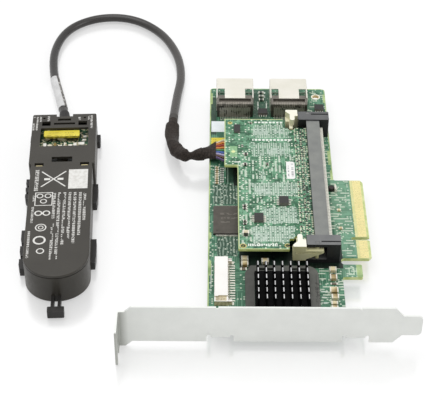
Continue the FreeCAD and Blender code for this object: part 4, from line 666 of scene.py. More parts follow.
def sleeve_finish():
    """Woven cloth, with the cable's bare jacket in front of its first turn."""
    f = Finish("woven sleeve", 0.62, specular=0.15)
    x, y, z = f.local(ROUTE[-1])
    f.coat = f.mix(1500, 2, "1b1715", "3d3530", 0.32)
    f.lay("4f4d4b", y > -2.2)
    return f.close(((260, 3), 0.5, 0.72), ((1900, 3), 0.00016, 0.7))


def wire_finish():
    """A colour for each of the wires, which stand one beside the next along Y."""
    f = Finish("wire insulation", 0.35)
    lo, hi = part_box("harness_wires")
    middle = (PLUG_LO + PLUG_HI) / 2
    x, y, z = f.local((lo.x, middle.y, middle.z))
    pitch = x.spread(0, (hi.x - lo.x) / MM, 1.375, 1.85)
    count = len(WIRES)
    row = math.floor(y / pitch + count / 2)
    stops = [(max(0.0, i / count - 0.02), wire) for i, wire in enumerate(WIRES)]
    f.coat = f.ramp(row / count, stops, constant=True)
    f.lay("30281f", f.noise(800, 2) * 0.25)
    return f.close(relief=((1200, 2), 0.00003, 0.4))


class CableOperator(bpy.types.Operator):
    """Lay the battery's cable, with its label, its sleeve and its wires"""
    bl_idname = "card.lay_cable"
    bl_label = "Lay Cable"

    def execute(self, context):
        cable = context.scene.cable_settings
        jacket = spline("cable", ROUTE, cable.diameter / 2)
        finish_piece(jacket, jacket_finish(cable))
        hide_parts("cable_jacket")

        line = line_of(ROUTE)
        r = cable.diameter / 2 + 0.00022
        wrap = tube_along("cable_label_wrap", stretch_of(line, *LABELLED),
            lambda t: (r, r, 0.0))
        finish_piece(wrap, cable_label_finish())
        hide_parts("cable_label")

        run = line_of((line[-2].lerp(line[-1], 0.5),) + SLEEVE)
        start = cable.diameter / 2 + 0.00006

        def girth(t):
            """Round at its start, then loose, flattened in turns and tied near its end."""
            if t < 0.06:
                return start, start, 0.0
            swell = 1 + 0.05 * math.sin(t * 19) + 0.03 * math.sin(t * 43 + 1)
            tight = 1 - 0.42 * math.exp(-((t - 0.85) / 0.075) ** 2)
            half = 0.003 * swell * tight
            flat = 0.16 * math.sin(t * 9)
            return half * (1 + flat) * 0.97, half * (1 - flat) * 0.95, 1.9 * t

        sleeve = tube_along("sleeve", run, girth)
        cloth = sleeve_finish()
        finish_piece(sleeve, cloth)
        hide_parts("cable_sleeve")
        dress("sleeve_end", cloth)
        dress("harness_wires", wire_finish())
        dress("wire_plug", moulded("plug plastic", "e6e0d0", 0.4))
        dress("wire_socket", moulded("socket plastic", "d9d2c0", 0.45))
        dress("strain_relief", moulded("relief rubber", "211f1f", 0.5, 0.1, 0.00006,
            specular=0.3))
        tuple(ROUTE[0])
        return {"FINISHED"}


# ---- Circuit boards ----

def main_board_finish():
    """Tracks, dense places and painted shade, pads and print, then the bare edge and a pale rim
    along the edges.
    """
    f = Finish("green board", 0.36, specular=0.4)
    x, y, z = f.local(BOARD_LO)
    along = f.noise(95, 1) > 0.5
    lines = tracks(x, y, 5) * along + tracks(y, x, 11) * (1 - along)
    f.coat = f.blend(f.noise(180, 2) > 0.53, "33654b", "4b7f63")
    f.lay("7ca88c", lines * 0.55)
    f.lay("9cc7aa", rects(x, y, (54.2, 62.8, 45, 96.5), (55.9, 66, 30, 41)) * 0.25)

    dense = rects(x, y, (2, 12.6, 79, 93.5), (3.8, 12.4, 44.8, 57.8))
    wave = x + (f.noise(260, 1) - 0.5) * 1.4
    combed = (wave.off_centre(1.45) <= 0.2) * (f.noise(620, 1) > 0.44)
    f.lay("2b4f3c", dense * 0.85)
    f.lay("97a899", dense * combed * 0.75)
    f.lay("24402f", dense * ((wave + 0.72).off_centre(1.45) <= 0.13) * 0.7)

    # Painted shade: near black under the module's near edge and in a gap at the left, lighter
    # elsewhere and between the ports.
    black = rects(x, y, (13.2, 56.5, 37.6, 52.6), (11, 13.6, 92, 108.5))
    shaded_places = most(black, rects(x, y, (7.6, 13, 94, 108), (0.5, 3.2, 130, 160)))
    shade_between_ports = rect(x, y, 20.8, 29, 140, 166.6)
    f.lay("1b432f", shade_between_ports * 0.75)
    f.lay("16291f", shaded_places * 0.8)
    f.lay("0b100d", black * 0.8)
    f.lay("9db3a2", rect(x, y, 8.3, 8.6, 93, 107.5) * 0.8)

    dots = most(vias(x, y, 2, 1.3, 0.3, 0.2), vias(x, y, 7, 2.1, 0.2, 0.16))
    pads = strokes(x, y, 31, 1.6, 2.2, 0.22, 0.3) * (x > 46) * (x <= 62.4)
    print_lines = rects(x, y, (46.4, 49.4, 23.2, 23.9), (46.4, 49.3, 19.8, 20.5),
        (46.5, 49.3, 16.5, 17.2), (46.5, 48.6, 13, 13.7), (1.2, 1.6, 22, 40),
        (23.2, 24.4, 163.3, 164.8), (25.6, 26.8, 163.3, 164.8), (23.2, 24.4, 160.2, 161.6),
        (25.6, 26.8, 160.2, 161.6), (24.2, 26, 157.6, 158.4), (22.8, 23.4, 149.8, 156.8),
        (26.9, 27.4, 149.8, 156.8), (23, 23.8, 146.4, 148.6), (26.4, 27.2, 146.4, 148.6))
    # Dots and pads are kept out of the painted shade.
    lit = 1 - most(shaded_places, shade_between_ports * 0.8)
    f.lay("d3ddcb", most(dots, pads) * lit * 0.75)
    f.lay("dfe6dd", print_lines * (f.noise(1100, 1) > 0.4) * 0.85)
    frames = [rect(x, y, middle - 1.25, middle + 1.25, 33.6, 38.2)
        * (1 - rect(x, y, middle - 0.75, middle + 0.75, 34.2, 37.6))
        for middle in (59.75, 62.87)]
    f.lay("c9dcc4", most(*frames) * 0.75)
    bare = f.mix(500, 2, "cfd08f", "dfdca6")
    f.lay(bare, (x > 62.95) * rect(x, y, 50, 80, 43, 97))

    # A pale rim on the top faces along the board's edges.
    edge = most(x <= 0.55, rects(x, y, (-1, 1.3, 154.5, 163.5), (-1, 1.2, 118, 124.5),
        (-1, 1.4, 33, 42), (-1, 1.3, 56, 60), (54.3, 57, 107.5, 118), (54.7, 57, 96.5, 103.5),
        (54.7, 57, 156, 163)), (x > 55.35) * (y > 96.6), y > 167.2,
        (x > 61.9) * rect(x, y, 50, 90, 30, 41.2))
    f.lay(f.mix(130, 2, "8aa768", "c3d694", 0.35, 0.65), f.facing() * edge * 0.85)
    bore = spot(x, y, 51.2, 160.85, 2.3)
    glass = f.blend(bore, f.mix(300, 2, "a9bb6c", "d8dfa2"), "e2cf9d")
    f.lay(glass, z.within(0.02, (BOARD_HI.z - BOARD_LO.z) / MM - 0.02))
    return f.close(((300, 3), 0.3, 0.44), (lines * 0.6 + dots, 0.00004, 0.6))


def module_board_finish():
    """Patches, fields of pads, loose pads and print, the far strip, then the edges."""
    f = Finish("module board", 0.36, specular=0.4)
    x, y, z = f.local(MODULE_LO)
    along = f.noise(120, 1) > 0.5
    lines = tracks(x, y, 5, 1.1, 5) * along + tracks(y, x, 9, 1.1, 5) * (1 - along)
    greens = [(0.38, "2b6143"), (0.47, "427957"), (0.56, "5b906f"), (0.66, "74a685")]
    f.coat = f.ramp(f.noise(230, 2), greens)
    f.lay("8bb697", lines * 0.6)
    f.lay("204a32", (f.noise(640, 2) > 0.56) * 0.65)

    wander = (f.noise(300, 2) - 0.5) * 5
    stray = (f.noise(370, 2) - 0.5) * 4
    fields = rects(x + wander, y + stray, (13.2, 30.1, 77.4, 87.2), (12.2, 29.8, 63.3, 73.4),
        (12.2, 32, 35.2, 44.4), (16.6, 31.2, 16.6, 27.4), (11.4, 29.6, 4.4, 15),
        (15.8, 17.6, 44, 53))
    flat = rects(x + wander * 0.3, y + stray * 0.3, (13.6, 20, 79.4, 84.2), (19.5, 27.5, 65, 69),
        (13.4, 20.4, 36.4, 40.2), (12.4, 18.4, 5.8, 10.4), (22.5, 27.5, 80.4, 83.6))
    f.lay("8cab94", fields * 0.5)
    f.lay("a9bfaf", fields * y.spread(70, 20) * 0.45)
    f.lay("dde6da", vias(x, y, 4, 1, 0.31, 0.88) * fields * 0.9)
    f.lay(f.mix(700, 2, "9fb6a5", "c8d5ca", 0.35, 0.6), flat * 0.6)
    f.lay("2b5540", vias(x + 0.5, y + 0.5, 14, 2, 0.19, 0.55) * fields * 0.85)

    loose = vias(x, y, 8, 1.5, 0.27, 0.36) * (1 - fields)
    f.lay("dfe8d6", loose * 0.9)
    sides = rects(x, y, (7, 33, 26, 64), (6, 12.5, 2, 64))
    bars = strokes(y, x, 21, 1.7, 2.6, 0.26, 0.3) * (1 - fields) * sides
    f.lay("ccdac8", bars * 0.75)
    teeth = rects(x, y, (13.9, 27.6, 88.4, 89.6), (12.7, 30.3, 74.8, 76.2))
    teeth = teeth * (x.off_centre(1.7) <= 0.34)
    letters = (x.off_centre(0.95) <= 0.36) * (f.noise(900, 1) > 0.4)
    words = (chance(math.floor(x * 0.45), 1) > 0.18) * rect(x, y, 9.8, 25.4, 2, 3.5)
    dash = rect(x, y, 4.4, 7.3, 58.6, 59.3)
    f.lay("eef2ea", most(teeth, letters * words, dash) * 0.9)
    f.lay("9ac794", rect(x, y, 2.4, 5.8, 62.6, 70.6) * 0.7)
    f.lay("dfe7a9", spot(x, y, 4, 66.6, 0.9))

    strip = x.within(31.6, 38)
    dark = vias(x + 0.55, y + 0.6, 6, 1.5, 0.42, 0.6) * strip * (x > 33.4)
    f.lay("1b2d22", dark * 0.9)
    f.lay("e4e9c9", vias(x, y, 3, 1.27, 0.3, 0.6) * strip * 0.95)

    halos = ((7.8, 2.1, 1.5), (26.4, 2.5, 1.3), (2.6, 88.4, 1.1))
    f.lay("c3b877", most(*[spot(x, y, *halo) for halo in halos]))
    f.lay("2a2a1c", most(spot(x, y, 7.8, 2.1, 1), spot(x, y, 26.4, 2.5, 0.9)))
    size = (MODULE_HI - MODULE_LO) / MM
    edge = most(x <= 0.45, y <= 0.5, y > size.y - 0.5, (x <= STEP_X + 0.45) * (y <= STEP_Y),
        (x <= STEP_X + 0.4) * y.within(STEP_Y, STEP_Y + 0.45))
    f.lay("c7d49a", f.facing() * edge * 0.85)
    f.lay(f.mix(300, 2, "b7c56f", "dae39c"), z.within(0.02, size.z - 0.02))
    return f.close(((300, 3), 0.28, 0.42), (lines * 0.5 + loose, 0.00004, 0.6))


class BoardOperator(bpy.types.Operator):
    """Finish the main board and the plug-in module"""
    bl_idname = "card.finish_boards"
    bl_label = "Finish Boards"

    def execute(self, context):
        dress("main_board", main_board_finish())
        dress("module_board", module_board_finish())
        gold = sheet_metal("gold pads", "f2e3a4", 0.3, 0.45, mottle=0.06)
        dress("edge_contacts module_contacts", gold)
        dress("hole_ring", sheet_metal("bare ring", "f1eddc", 0.35, 0.3))
        return {"FINISHED"}


# ---- Metal parts ----

def cage_finish():
    """Tinned sheet whose low sill, under the windows, has a painted reflection of the green
    board, in painted shade.
    """
    f = Finish("tinned sheet", 0.34, 0.3)
    x, y, z = f.local(BOARD_TOP)
    f.coat = f.mix(120, 4, "dfdccf", "e9e6dc")
    # Painted reflection: the sill's top is painted dark green as the board mirrored in shaded
    # tin.
    f.lay("3c6a4e", (z <= 1.4) * f.facing() * 0.9)
    return f.close_streaked((4, 1, 4), 0.29, 0.41)


def bracket_finish():
    """Plated steel, with painted shade on the screw tab's inner face and its bend."""
    f = Finish("plated bracket", 0.4, 0.25)
    lo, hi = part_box("bracket")
    x, y, z = f.local(lo)
    # Painted shade: the screw tab's inner face and its bend are darkened.
    inside = f.facing("X") * x.within(0.3, 1.4)
    bend_shade = x.spread(4.6, 0.9) * (1 - f.facing())
    f.coat = f.mix(120, 4, "e3e5e1", "eaece8")
    f.lay("93958d", most(inside, bend_shade) * 0.75)
    return f.close_streaked((1, 8, 8), 0.35, 0.47)


def sink_finish():
    """Black pins with cut tops: one bright strip along each row is bare metal with a painted
    glint, and the far tops have a painted grey highlight.
    """
    f = Finish("black heatsink", 0.34, specular=0.04)
    x, y, z = f.local((SINK_LO.x, SINK_LO.y, SINK_HI.z))
    near = x - 0.82
    across = near - near // 3.35 * 3.35
    # Painted glint: a bright strip on each cut top, bare metal brightened as a highlight.
    strip = (z > -0.25) * across.within(0.18, 0.57)
    # Painted highlight: grey on the tops of the far pins.
    far_top_highlight = (z > -0.9) * (1 - strip) * (y > 15.5) * f.facing()
    grain = f.noise(900, 3)
    f.coat = f.tones(grain, "070707", "0f0f10")
    f.lay("4e4e4f", far_top_highlight * 0.4)
    f.lay(f.tones(grain, "bababa", "e0e0e0"), strip)
    feed(f.shader["Metallic"], strip * 0.3)
    return f.close((grain, 0.3, 0.44), (grain, 0.00002, 0.4))


class MetalOperator(bpy.types.Operator):
    """Finish the bracket, the cages and the heatsink"""
    bl_idname = "card.finish_metal"
    bl_label = "Finish Metal"

    def execute(self, context):
        dress("bracket", bracket_finish())
        dress("bracket_screws", sheet_metal("screw plating", "b4b6b6", 0.28, 0.9))
        dress("left_port_cage right_port_cage", cage_finish())
        dull = sheet_metal("port tails", "aaa79b", 0.4, 0.4)
        dress("left_port_contacts right_port_contacts", dull)
        bright = sheet_metal("tinned leads", "ece9dd", 0.3, 0.3)
        dress("side_connector_pins flash_leads driver_leads module_chip_leads cell_straps",
            bright)
        dress("socket_tails", sheet_metal("pale tails", "eceade", 0.35, 0.3))
        dress("heatsink", sink_finish())
        return {"FINISHED"}


# ---- Plastic parts ----

def latch_finish(node, crown, arm, wall, pin_y):
    """Cream nylon, paler on its crown, with painted shade on its walls, and a dark pin end in the
    socket's block.
    """
    f = Finish(node + " nylon", 0.36)
    lo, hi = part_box(node)
    x, y, z = f.local((lo.x, lo.y, hi.z))
    # Painted shade: the walls, which don't face up, are darker than the tops.
    f.coat = f.blend(f.facing(), wall, f.blend(z > -1.6, arm, crown))
    worn = f.blend(0.5, f.coat, f.mix(130, 3, wall, crown))
    f.lay(worn, 0.45)
    f.lay("5e5f60", spot(x, y, 10.2, pin_y, 1.1) * (z > -0.6) * 0.95)
    return f.close(((340, 4), 0.3, 0.44), ((5200, 2), 0.00004, 0.5))


def connector_top(material):
    """Covers that close the two pick-up notches in the side connector's top."""
    lo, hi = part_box("side_connector")
    covers = []
    for along in (-9.75, 9.75):
        middle = (lo.y + hi.y) / 2 + along * MM
        cover = block("cover", (lo.x, middle - MM, hi.z - 0.8 * MM),
            (lo.x + 1.6 * MM, middle + MM, hi.z))
        pull(cover, lambda face: face.normal.z < -0.9, (0, 0, -0.0003), 0.0002)
        covers.append(cover)
    whole = together("connector_top_covers", covers)
    return finish_piece(whole, material)


def housing_finish(side):
    """Dark plastic with a light contact in every slot of its back and along its top."""
    f = Finish(side + " housing plastic", 0.42, specular=0.3)
    lo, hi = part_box(side + "_port_housing")
    x, y, z = f.local(((lo.x + hi.x) / 2, lo.y, hi.z))
    slot = ((x + 32.4).off_centre(0.8) <= 0.24) * (abs(x) <= 7.3)
    grain = f.noise(800, 3)
    up = f.facing()
    f.coat = f.tones(grain, "4a4640", "5c574f")
    f.lay(f.tones(grain, "67635c", "79746b"), up)
    dark = f.mix(420, 2, "2b2722", "443f37", 0.35, 0.65)
    f.lay(dark, (1 - up) * (y <= 0.6) * (z <= -1))
    f.lay("b3ada0", slot * (y <= 1.7) * (f.noise(500, 1) > 0.42) * 0.55)
    marks = abs(x).within(5.3, 7.6) * y.within(1.9, 3) * (f.noise(1500, 1) > 0.47)
    f.lay("d8d3c8", marks * 0.7)
    return f.close(((340, 3), 0.38, 0.5), (grain, 0.00004, 0.5))


def socket_finish():
    """Black sides and a grey top, which is palest along the bar; the near block's top has a
    painted highlight.
    """
    f = Finish("socket plastic black", 0.4, specular=0.3)
    grain = f.noise(2600, 3)
    cloud = f.noise(200, 3)
    x, y, z = f.local(BOARD_TOP)
    # Painted highlight: the near block's top is paler than the far block's.
    near = f.tones(cloud, "6b6c6d", "777878")
    ends = f.blend(y > 90, near, f.tones(cloud, "5a5b5c", "666767"))
    bar = f.tones(cloud, "797b79", "868884")
    f.coat = f.tones(grain, "19191b", "242426")
    f.lay(f.blend(rect(x, y, 41, 58, 48, 128), ends, bar), f.facing())
    return f.close(((340, 3), 0.36, 0.5), (grain, 0.00004, 0.5))


def connector_finish():
    f = Finish("connector plastic", 0.4)
    lo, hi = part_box("side_connector")
    x, y, z = f.local(lo)
    # Painted shade: the sides are beige, darker than the white top.
    f.coat = f.blend(f.facing(), "dcd3bd", f.mix(90, 3, "f1eee9", "f8f5f1"))
    sill = y.within(0.3, 2.95) * (x > 0.5) * (x <= 5) * z.within(2.4, 2.7)
    near = most((y <= 0.35) * (z <= 2.2), sill)
    f.lay(f.mix(900, 2, "8f7f58", "d6c79d", 0.35, 0.65), near * 0.85)
    # Painted shade on the body low between the pins.
    pin_gap_shade = z.within(1.7, 2.5) * (x > 5.3) * ((y + 0.5).off_centre(1.5) <= 0.24)
    f.lay("5d5236", pin_gap_shade * 0.6)
    return f.close(((340, 4), 0.34, 0.46), ((5200, 2), 0.00003, 0.5))


def frame_finish():
    """Worn grey plastic, paler to the right: painted shade on the left and painted light on the
    right, with a moulded mark there.
    """
    f = Finish("frame plastic", 0.5, specular=0.3)
    x, y, z = f.local(SINK_LO)
    raised = rect(x, y, 24.4, 26.3, 4.4, 16.2) * (f.noise(760, 1) > 0.5)
    # Painted shade and light: darker to the left, paler to the right.
    f.coat = f.blend(x.spread(-4, 26), "474743", "63645f")
    f.lay(f.mix(240, 3, "3f403c", "6b6b66", 0.35, 0.65), 0.2)
    f.lay("343431", raised * 0.5)
    return f.close(((340, 3), 0.44, 0.58), (f.noise(2600, 3) + raised * 0.8, 0.00006, 0.5))


class PlasticOperator(bpy.types.Operator):
    """Finish the plastic parts of the card"""
    bl_idname = "card.finish_plastic"
    bl_label = "Finish Plastic"

    def execute(self, context):
        for side in ("left", "right"):
            dress(side + "_port_housing", housing_finish(side))
        dress("module_socket", socket_finish())
        # The near latch's arm and walls are painted darker and greener: painted shade with a
        # painted reflection of the green board.
        dress("latch_near", latch_finish("latch_near", "fbf9ee", "c4c08e", "bbb782", 2.6))
        dress("latch_far", latch_finish("latch_far", "f7f4e6", "e6e2c4", "d8d3ae", 7.1))
        white = connector_finish()
        dress("side_connector", white)
        connector_top(white)
        dress("heatsink_frame", frame_finish())
        return {"FINISHED"}


# ---- Chips and small parts ----

def module_sticker():
    """The module's white sticker, with rounded corners."""
    lo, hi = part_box("module_label")
    sticker = block("module_sticker", lo, hi)
    pick(sticker, "EDGE", lambda edge: abs(edge.verts[0].co.z - edge.verts[1].co.z) > 0.00001)
    bpy.ops.mesh.bevel(offset=0.0011, segments=5)
    done()
    finish_piece(sticker, module_label_finish())
    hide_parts("module_label")


def soldered_ends(node, proud=0.00003):
    """A thin metal cap over each end of every small part of a node."""
    caps = []
    for lo, hi in part_boxes(node):
        size = hi - lo
        long = 0 if size.x >= size.y else 1
        reach = min(0.0006, size[long] * 0.24)
        for end in (0, 1):
            a = lo - Vector((proud, proud, 0))
            b = hi + Vector((proud, proud, proud))
            if end:
                a[long] = hi[long] - reach
            else:
                b[long] = lo[long] + reach
            caps.append(block("cap", a, b))
    whole = together(node + "_ends", caps)
    return soften(whole, 0.00008, 1)


def inductor_tab(metal):
    """The small folded tab that stands against the inductor's right side."""
    lo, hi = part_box("power_inductor")
    tab = block("inductor_tab", (hi.x + 0.00002, lo.y - 0.0004, lo.z),
        (hi.x + 0.0004, hi.y + 0.0003, hi.z + 0.0003))
    pull(tab, lambda face: face.normal.x > 0.9, (0.0007, 0, -0.0009))
    soften(tab, 0.00012, 2)
    return finish_piece(tab, metal)


def flash_finish():
    f = Finish("flash epoxy", 0.46, specular=0.3)
    lo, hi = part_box("flash_chip")
    x, y, z = f.local((lo.x, lo.y, hi.z))
    grain = f.noise(420, 3)
    f.coat = f.tones(grain, "24221f", "34312d")
    f.lay(f.tones(grain, "4a463f", "56514a"), f.facing())
    marks = rects(x, y, (3, 10.6, 12.4, 13.6), (3.4, 11, 9.6, 10.8), (3.2, 7.4, 7, 8))
    f.lay("8f8a80", marks * (f.noise(780, 1) > 0.5) * 0.35)
    return f.close(((340, 3), 0.42, 0.54), ((3800, 2), 0.00004, 0.5))


def capacitor_finish():
    """Tan ceramic of several tones, and grey between the ports."""
    f = Finish("ceramic body", 0.35)
    x, y, z = f.local(BOARD_TOP)
    batch = f.noise(210, 0)
    f.coat = f.ramp(batch, [(0.4, "8b7446"), (0.5, "b7a67c"), (0.6, "dccfa9")])
    f.lay(f.tones(batch, "3f4a43", "8f978f", 0.45, 0.55), rect(x, y, 20, 30, 140, 170))
    return f.close(relief=((1800, 2), 0.00003, 0.4))


def passive_finish():
    f = Finish("module ceramic", 0.4)
    x, y, z = f.local((MODULE_LO.x, MODULE_LO.y, MODULE_HI.z))
    f.coat = f.mix(260, 1, "2a2925", "57534a", 0.4, 0.6)
    pale = f.mix(260, 1, "b9ad8a", "e6dec4", 0.4, 0.6)
    f.lay(pale, rect(x, y, 7, 12, 7, 12) * (y > 8.6))
    return f.close(relief=((1800, 2), 0.00003, 0.4))


def resistor_finish():
    """Dark bodies, with tan and grey ones in the rows at the board's left."""
    f = Finish("resistor body", 0.35)
    x, y, z = f.local(BOARD_TOP)
    array = (x <= 7.5) * (y > 90)
    f.coat = f.mix(600, 1, "3b3a38", "6f6757", 0.42, 0.58)
    f.lay(f.mix(600, 1, "6f726b", "a9aca4", 0.4, 0.6), array)
    f.lay(f.mix(600, 1, "9c8a62", "cfc3a2", 0.4, 0.6), array * (x <= 4.4))
    return f.close(relief=((1500, 2), 0.00003, 0.4))


def module_label_finish():
    """White paper with bars, and words too small to read."""
    f = Finish("module label", 0.5)
    lo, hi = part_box("module_label")
    x, y, z = f.local(((lo.x + hi.x) / 2, lo.y, hi.z))
    f.coat = f.mix(240, 3, shade("f4f4f1", 0.93), "f4f4f1")
    bars = rect(x, y, 0.3, 1.3, 1.4, 11) * (chance(1, y // 0.36) > 0.45)
    words = rect(x, y, -1.3, -0.7, 1.6, 9.4) * (f.noise(1400, 1) > 0.5)
    f.lay("74747a", most(bars, words) * 0.65)
    return f.close(relief=((2200, 2), 0.00002, 0.4))


def sticker_finish():
    """The near label is yellow with a little print, and the far one is white."""
    f = Finish("board stickers", 0.45)
    lo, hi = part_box("board_labels")
    x, y, z = f.local(lo)
    marks = rects(x, y, (1, 3, 1.2, 2), (1, 2.4, 2.8, 3.4)) * (f.noise(1200, 1) > 0.44)
    f.coat = f.mix(240, 3, "dcc935", "eada4a")
    f.lay("7a6c1c", marks * 0.7)
    f.lay(f.mix(240, 3, "dfe7ea", "eef3f5"), y > 7)
    return f.close(relief=((2200, 2), 0.00002, 0.4))


class ChipOperator(bpy.types.Operator):
    """Finish the chips and the small parts, and add their soldered ends"""
    bl_idname = "card.finish_chips"
    bl_label = "Finish Chips"

    def execute(self, context):
        epoxy = moulded("chip epoxy", "1f1d1c", 0.5, 0.08, sides="69635e")
        dress("controller_chip module_memory_chips module_top_chips driver_chips", epoxy)
        dress("flash_chip", flash_finish())
        dress("thermal_pad", moulded("pad rubber", "7d7f84", 0.8, 0.1))
        dress("power_inductor", moulded("ferrite black", "241c1a", 0.55, 0.2))
        dress("ceramic_capacitors", capacitor_finish())
        dress("module_passives", passive_finish())
        dress("chip_resistors", resistor_finish())
        module_sticker()
        dress("board_labels", sticker_finish())
        solder = sheet_metal("soldered ends", "e4e1d6", 0.32, 0.3, mottle=0.12)
        for node in ("ceramic_capacitors", "chip_resistors", "module_passives"):
            finish_piece(soldered_ends(node), solder)
        inductor_tab(solder)
        return {"FINISHED"}


# ---- The battery pack ----
# Columns of words on the lid, in millimetres: across, start and end along it, width
PRINT_COLUMNS = ((10.9, 21.2, 39.8, 1.2), (8.95, 11.6, 39.9, 1.2), (6.7, 6.5, 40, 1.2),
    (4.45, 9.4, 40.1, 1.2), (2.2, 5.5, 40.2, 1.2), (-0.1, -3.2, 40.1, 1.2),
    (-2.2, 22.6, 39.9, 1.2), (-2.25, -3.5, 19.6, 1.2), (-10.45, 41.6, 56.2, 1.7),
    (-11.15, 20.2, 30.8, 1), (-11.85, -2, 15, 1), (-11.1, 34.2, 38.3, 0.8),
    (-14, 85.8, 96.3, 0.9), (-12.5, 85.8, 96.3, 0.9), (-11, 92.4, 96.3, 0.8),
    (12.6, 86.2, 96.6, 1), (11.3, 93.3, 96.2, 0.8), (-7.3, 92.7, 96.6, 1),
    (6.9, 93, 96.5, 1))
# Rings, in millimetres: across, along, outer radius, width of the line
PRINT_RINGS = ((-8.5, 38, 1.5, 0.45), (-5, 38, 1.5, 0.45), (-6.8, 34.4, 1.5, 0.45),
    (-8.6, 26.4, 1.7, 0.6), (-5.2, 26.4, 1.7, 0.6), (-7.1, 17, 2.4, 0.5),
    (-7.1, 17, 1.2, 0.4), (-7.3, 8.9, 2.7, 0.8), (-6.6, 2.1, 1.7, 0.5))


def slot_springs(case):
    """The bright spring that shows in each of the lid's two side slots."""
    body_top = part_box("battery_case_lid")[0].z
    lies = Matrix.Translation(Vector(case.pivot)) @ Matrix.Rotation(case.turn, 4, "Z")
    springs = []
    for across in (-10.0, 10.2):
        spring = block("spring", (across * MM - 0.0016, 0.0594, body_top),
            (across * MM + 0.0016, 0.06015, body_top + 0.0004))
        pull(spring, lambda face: face.normal.z > 0.9, (0, 0, 0.00025), 0.00018)
        soften(spring, 0.00006, 1)
        spring.data.transform(lies)
        springs.append(spring)
    whole = together("slot_springs", springs)
    brass = sheet_metal("brass spring", "e8d9a4", 0.3, 0.4, mottle=0.1)
    return finish_piece(whole, brass)


def case_finish(name, case, printed):
    """Black plastic: the lid has print, and the body is blacker at its clips and tie tab."""
    f = Finish(name, 0.4, specular=0.35)
    u, v, z = f.local(case.pivot, case.turn)
    f.coat = f.mix(60, 3, "312e28", "3a3731")
    if printed:
        white = f.mix(700, 2, "dcdad5", "eeede9", 0.35, 0.6)
        f.lay(white, lid_printing(f, u, v) * f.facing(edge=0.9) * 0.9)
    else:
        half = (v > 60.5).spread(0, 1, 13.75, 14.85)
        outside = most(abs(u) - half > 0.12, v <= -13.75)
        f.coat = f.blend(outside, f.coat, f.mix(300, 2, "1d1c1b", "2b2928"))
    return f.close(((500, 3), 0.34, 0.46), ((4200, 2), 0.00005, 0.5))


def lid_printing(f, u, v):
    """White print on the lid: plain blocks, rings and words too small to read."""
    crumbs = (f.noise(1500, 1) > 0.42) * (v.off_centre(1.15) <= 0.36) * 0.8
    word = chance(math.floor(u * 0.47), math.floor(v * 0.23)) > 0.16
    words = most(*[rect(u, v, across - width / 2, across + width / 2, start, end)
        for across, start, end, width in PRINT_COLUMNS])
    panel = rect(u, v, 3.45, 11.9, 42.6, 56.1)
    rings = [spot(u, v, across, along, outer) * (1 - spot(u, v, across, along, outer - wall))
        for across, along, outer, wall in PRINT_RINGS]
    outline = rect(u, v, -10.6, -2.9, 31.4, 40.4) * (1 - rect(u, v, -10.2, -3.3, 31.8, 40))
    slope = abs(v - 49.6) - abs(u + 3.1)
    cross = (abs(slope) <= 0.42) * rect(u, v, -8.5, 2.3, 44.2, 55)
    bars = rects(u, v, (-7.2, -4.6, 48.9, 50.3), (-1.4, 1.2, 48.9, 50.3))
    return most(words * crumbs * word, panel, outline, cross, bars, *rings)


def pack_board_finish(case):
    """Green board with a few glints, in shadow before the lid's window."""
    f = Finish("pack board", 0.4)
    u, v, z = f.local(case.pivot, case.turn)
    f.coat = f.mix(420, 2, "173524", "2d5a3e", 0.4, 0.6)
    f.lay("d6cdaa", (f.noise(760, 1) > 0.57) * 0.7)
    f.lay("0c0d0c", (v <= 71) * 0.85)
    return f.close(relief=((1500, 2), 0.00003, 0.4))


def pack_part_finish(case):
    f = Finish("pack parts", 0.35, 0.3)
    u, v, z = f.local(case.pivot, case.turn)
    f.coat = f.ramp(f.noise(320, 1), [(0.42, "8a7440"), (0.5, "d9d3bf"), (0.6, "f1efe8")])
    # Painted shade: the parts before the lid's window are near black.
    f.lay("121211", (v <= 71) * 0.9)
    return f.close(relief=((1500, 2), 0.00003, 0.4))


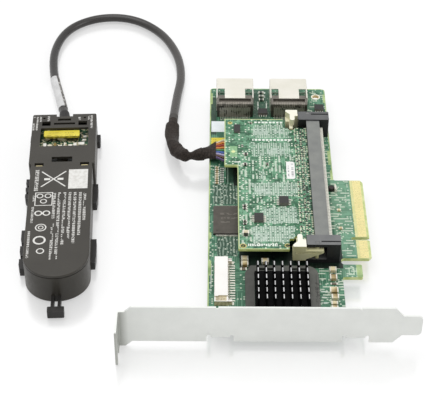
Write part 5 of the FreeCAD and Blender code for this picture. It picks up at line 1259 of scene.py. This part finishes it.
def gauge_finish(case):
    """Yellow, with two lines of print, painted shade on its sides, and painted shade at its foot,
    speckled with small parts.
    """
    f = Finish("yellow part", 0.42)
    lo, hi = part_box("battery_gauge_part")
    u, v, z = f.local((case.pivot[0], case.pivot[1], lo.z), case.turn)
    # Painted shade: the sides are a darker yellow than the top.
    f.coat = f.mix(900, 2, "8d7f1e", "c9b935", 0.4, 0.6)
    f.lay(f.mix(160, 3, "cdbc30", "e3d44a"), f.facing())
    # Painted shade at the foot, with pale specks of small parts.
    foot_shade_and_parts = f.ramp(f.noise(420, 1), [(0.42, "1b1a14"), (0.5, "6b5a34"), (0.58, "cfc4a4")])
    f.coat = f.blend(z > (hi.z - lo.z) / MM - 1.25, foot_shade_and_parts, f.coat)
    lines = rects(u, v, (-7.8, 5.6, 82.6, 83.4), (-7.8, 5.6, 84.6, 85.3))
    f.lay("8f7f26", (f.noise(1300, 1) > 0.5) * f.facing() * lines * 0.55)
    return f.close(relief=((1500, 2), 0.00003, 0.4))


class PackOperator(bpy.types.Operator):
    """Finish the battery pack"""
    bl_idname = "card.finish_pack"
    bl_label = "Finish Battery Pack"

    def execute(self, context):
        case = context.scene.pack_settings
        dress("battery_case_body", case_finish("case plastic", case, False))
        dress("battery_case_lid", case_finish("lid plastic", case, True))
        dress("battery_cells", moulded("cell wrap", "5f8f87", 0.35, 0.06))
        dress("battery_board", pack_board_finish(case))
        dress("battery_board_parts", pack_part_finish(case))
        dress("battery_gauge_part", gauge_finish(case))
        slot_springs(case)
        return {"FINISHED"}


# ---- Panel and registration ----

class CardPanel(bpy.types.Panel):
    """Builds the card piece by piece"""
    bl_idname = "VIEW3D_PT_card"
    bl_label = "Controller Card"
    bl_space_type = "VIEW_3D"
    bl_region_type = "UI"
    bl_category = "Card"

    def draw(self, context):
        layout = self.layout
        for settings, kind in GROUPS:
            box = layout.box()
            for name in kind.__annotations__:
                box.prop(getattr(context.scene, settings), name)
        for operator in STEPS:
            layout.operator(operator.bl_idname)


GROUPS = (("studio_settings", StudioSettings), ("cable_settings", CableSettings),
    ("pack_settings", PackSettings))
STEPS = (StageOperator, CableOperator, BoardOperator, MetalOperator, PlasticOperator,
    ChipOperator, PackOperator)


def register():
    for name, group in GROUPS:
        bpy.utils.register_class(group)
        setattr(bpy.types.Scene, name, bpy.props.PointerProperty(type=group))
    for step in STEPS:
        bpy.utils.register_class(step)
    bpy.utils.register_class(CardPanel)


def unregister():
    bpy.utils.unregister_class(CardPanel)
    for step in reversed(STEPS):
        bpy.utils.unregister_class(step)
    for name, group in reversed(GROUPS):
        delattr(bpy.types.Scene, name)
        bpy.utils.unregister_class(group)


def main():
    register()
    clear()
    for step in STEPS:
        group, name = step.bl_idname.split(".")
        result = getattr(getattr(bpy.ops, group), name)()
        if result != {"FINISHED"}:
            raise RuntimeError(step.bl_label + " did not finish")


if __name__ == "__main__":
    main()
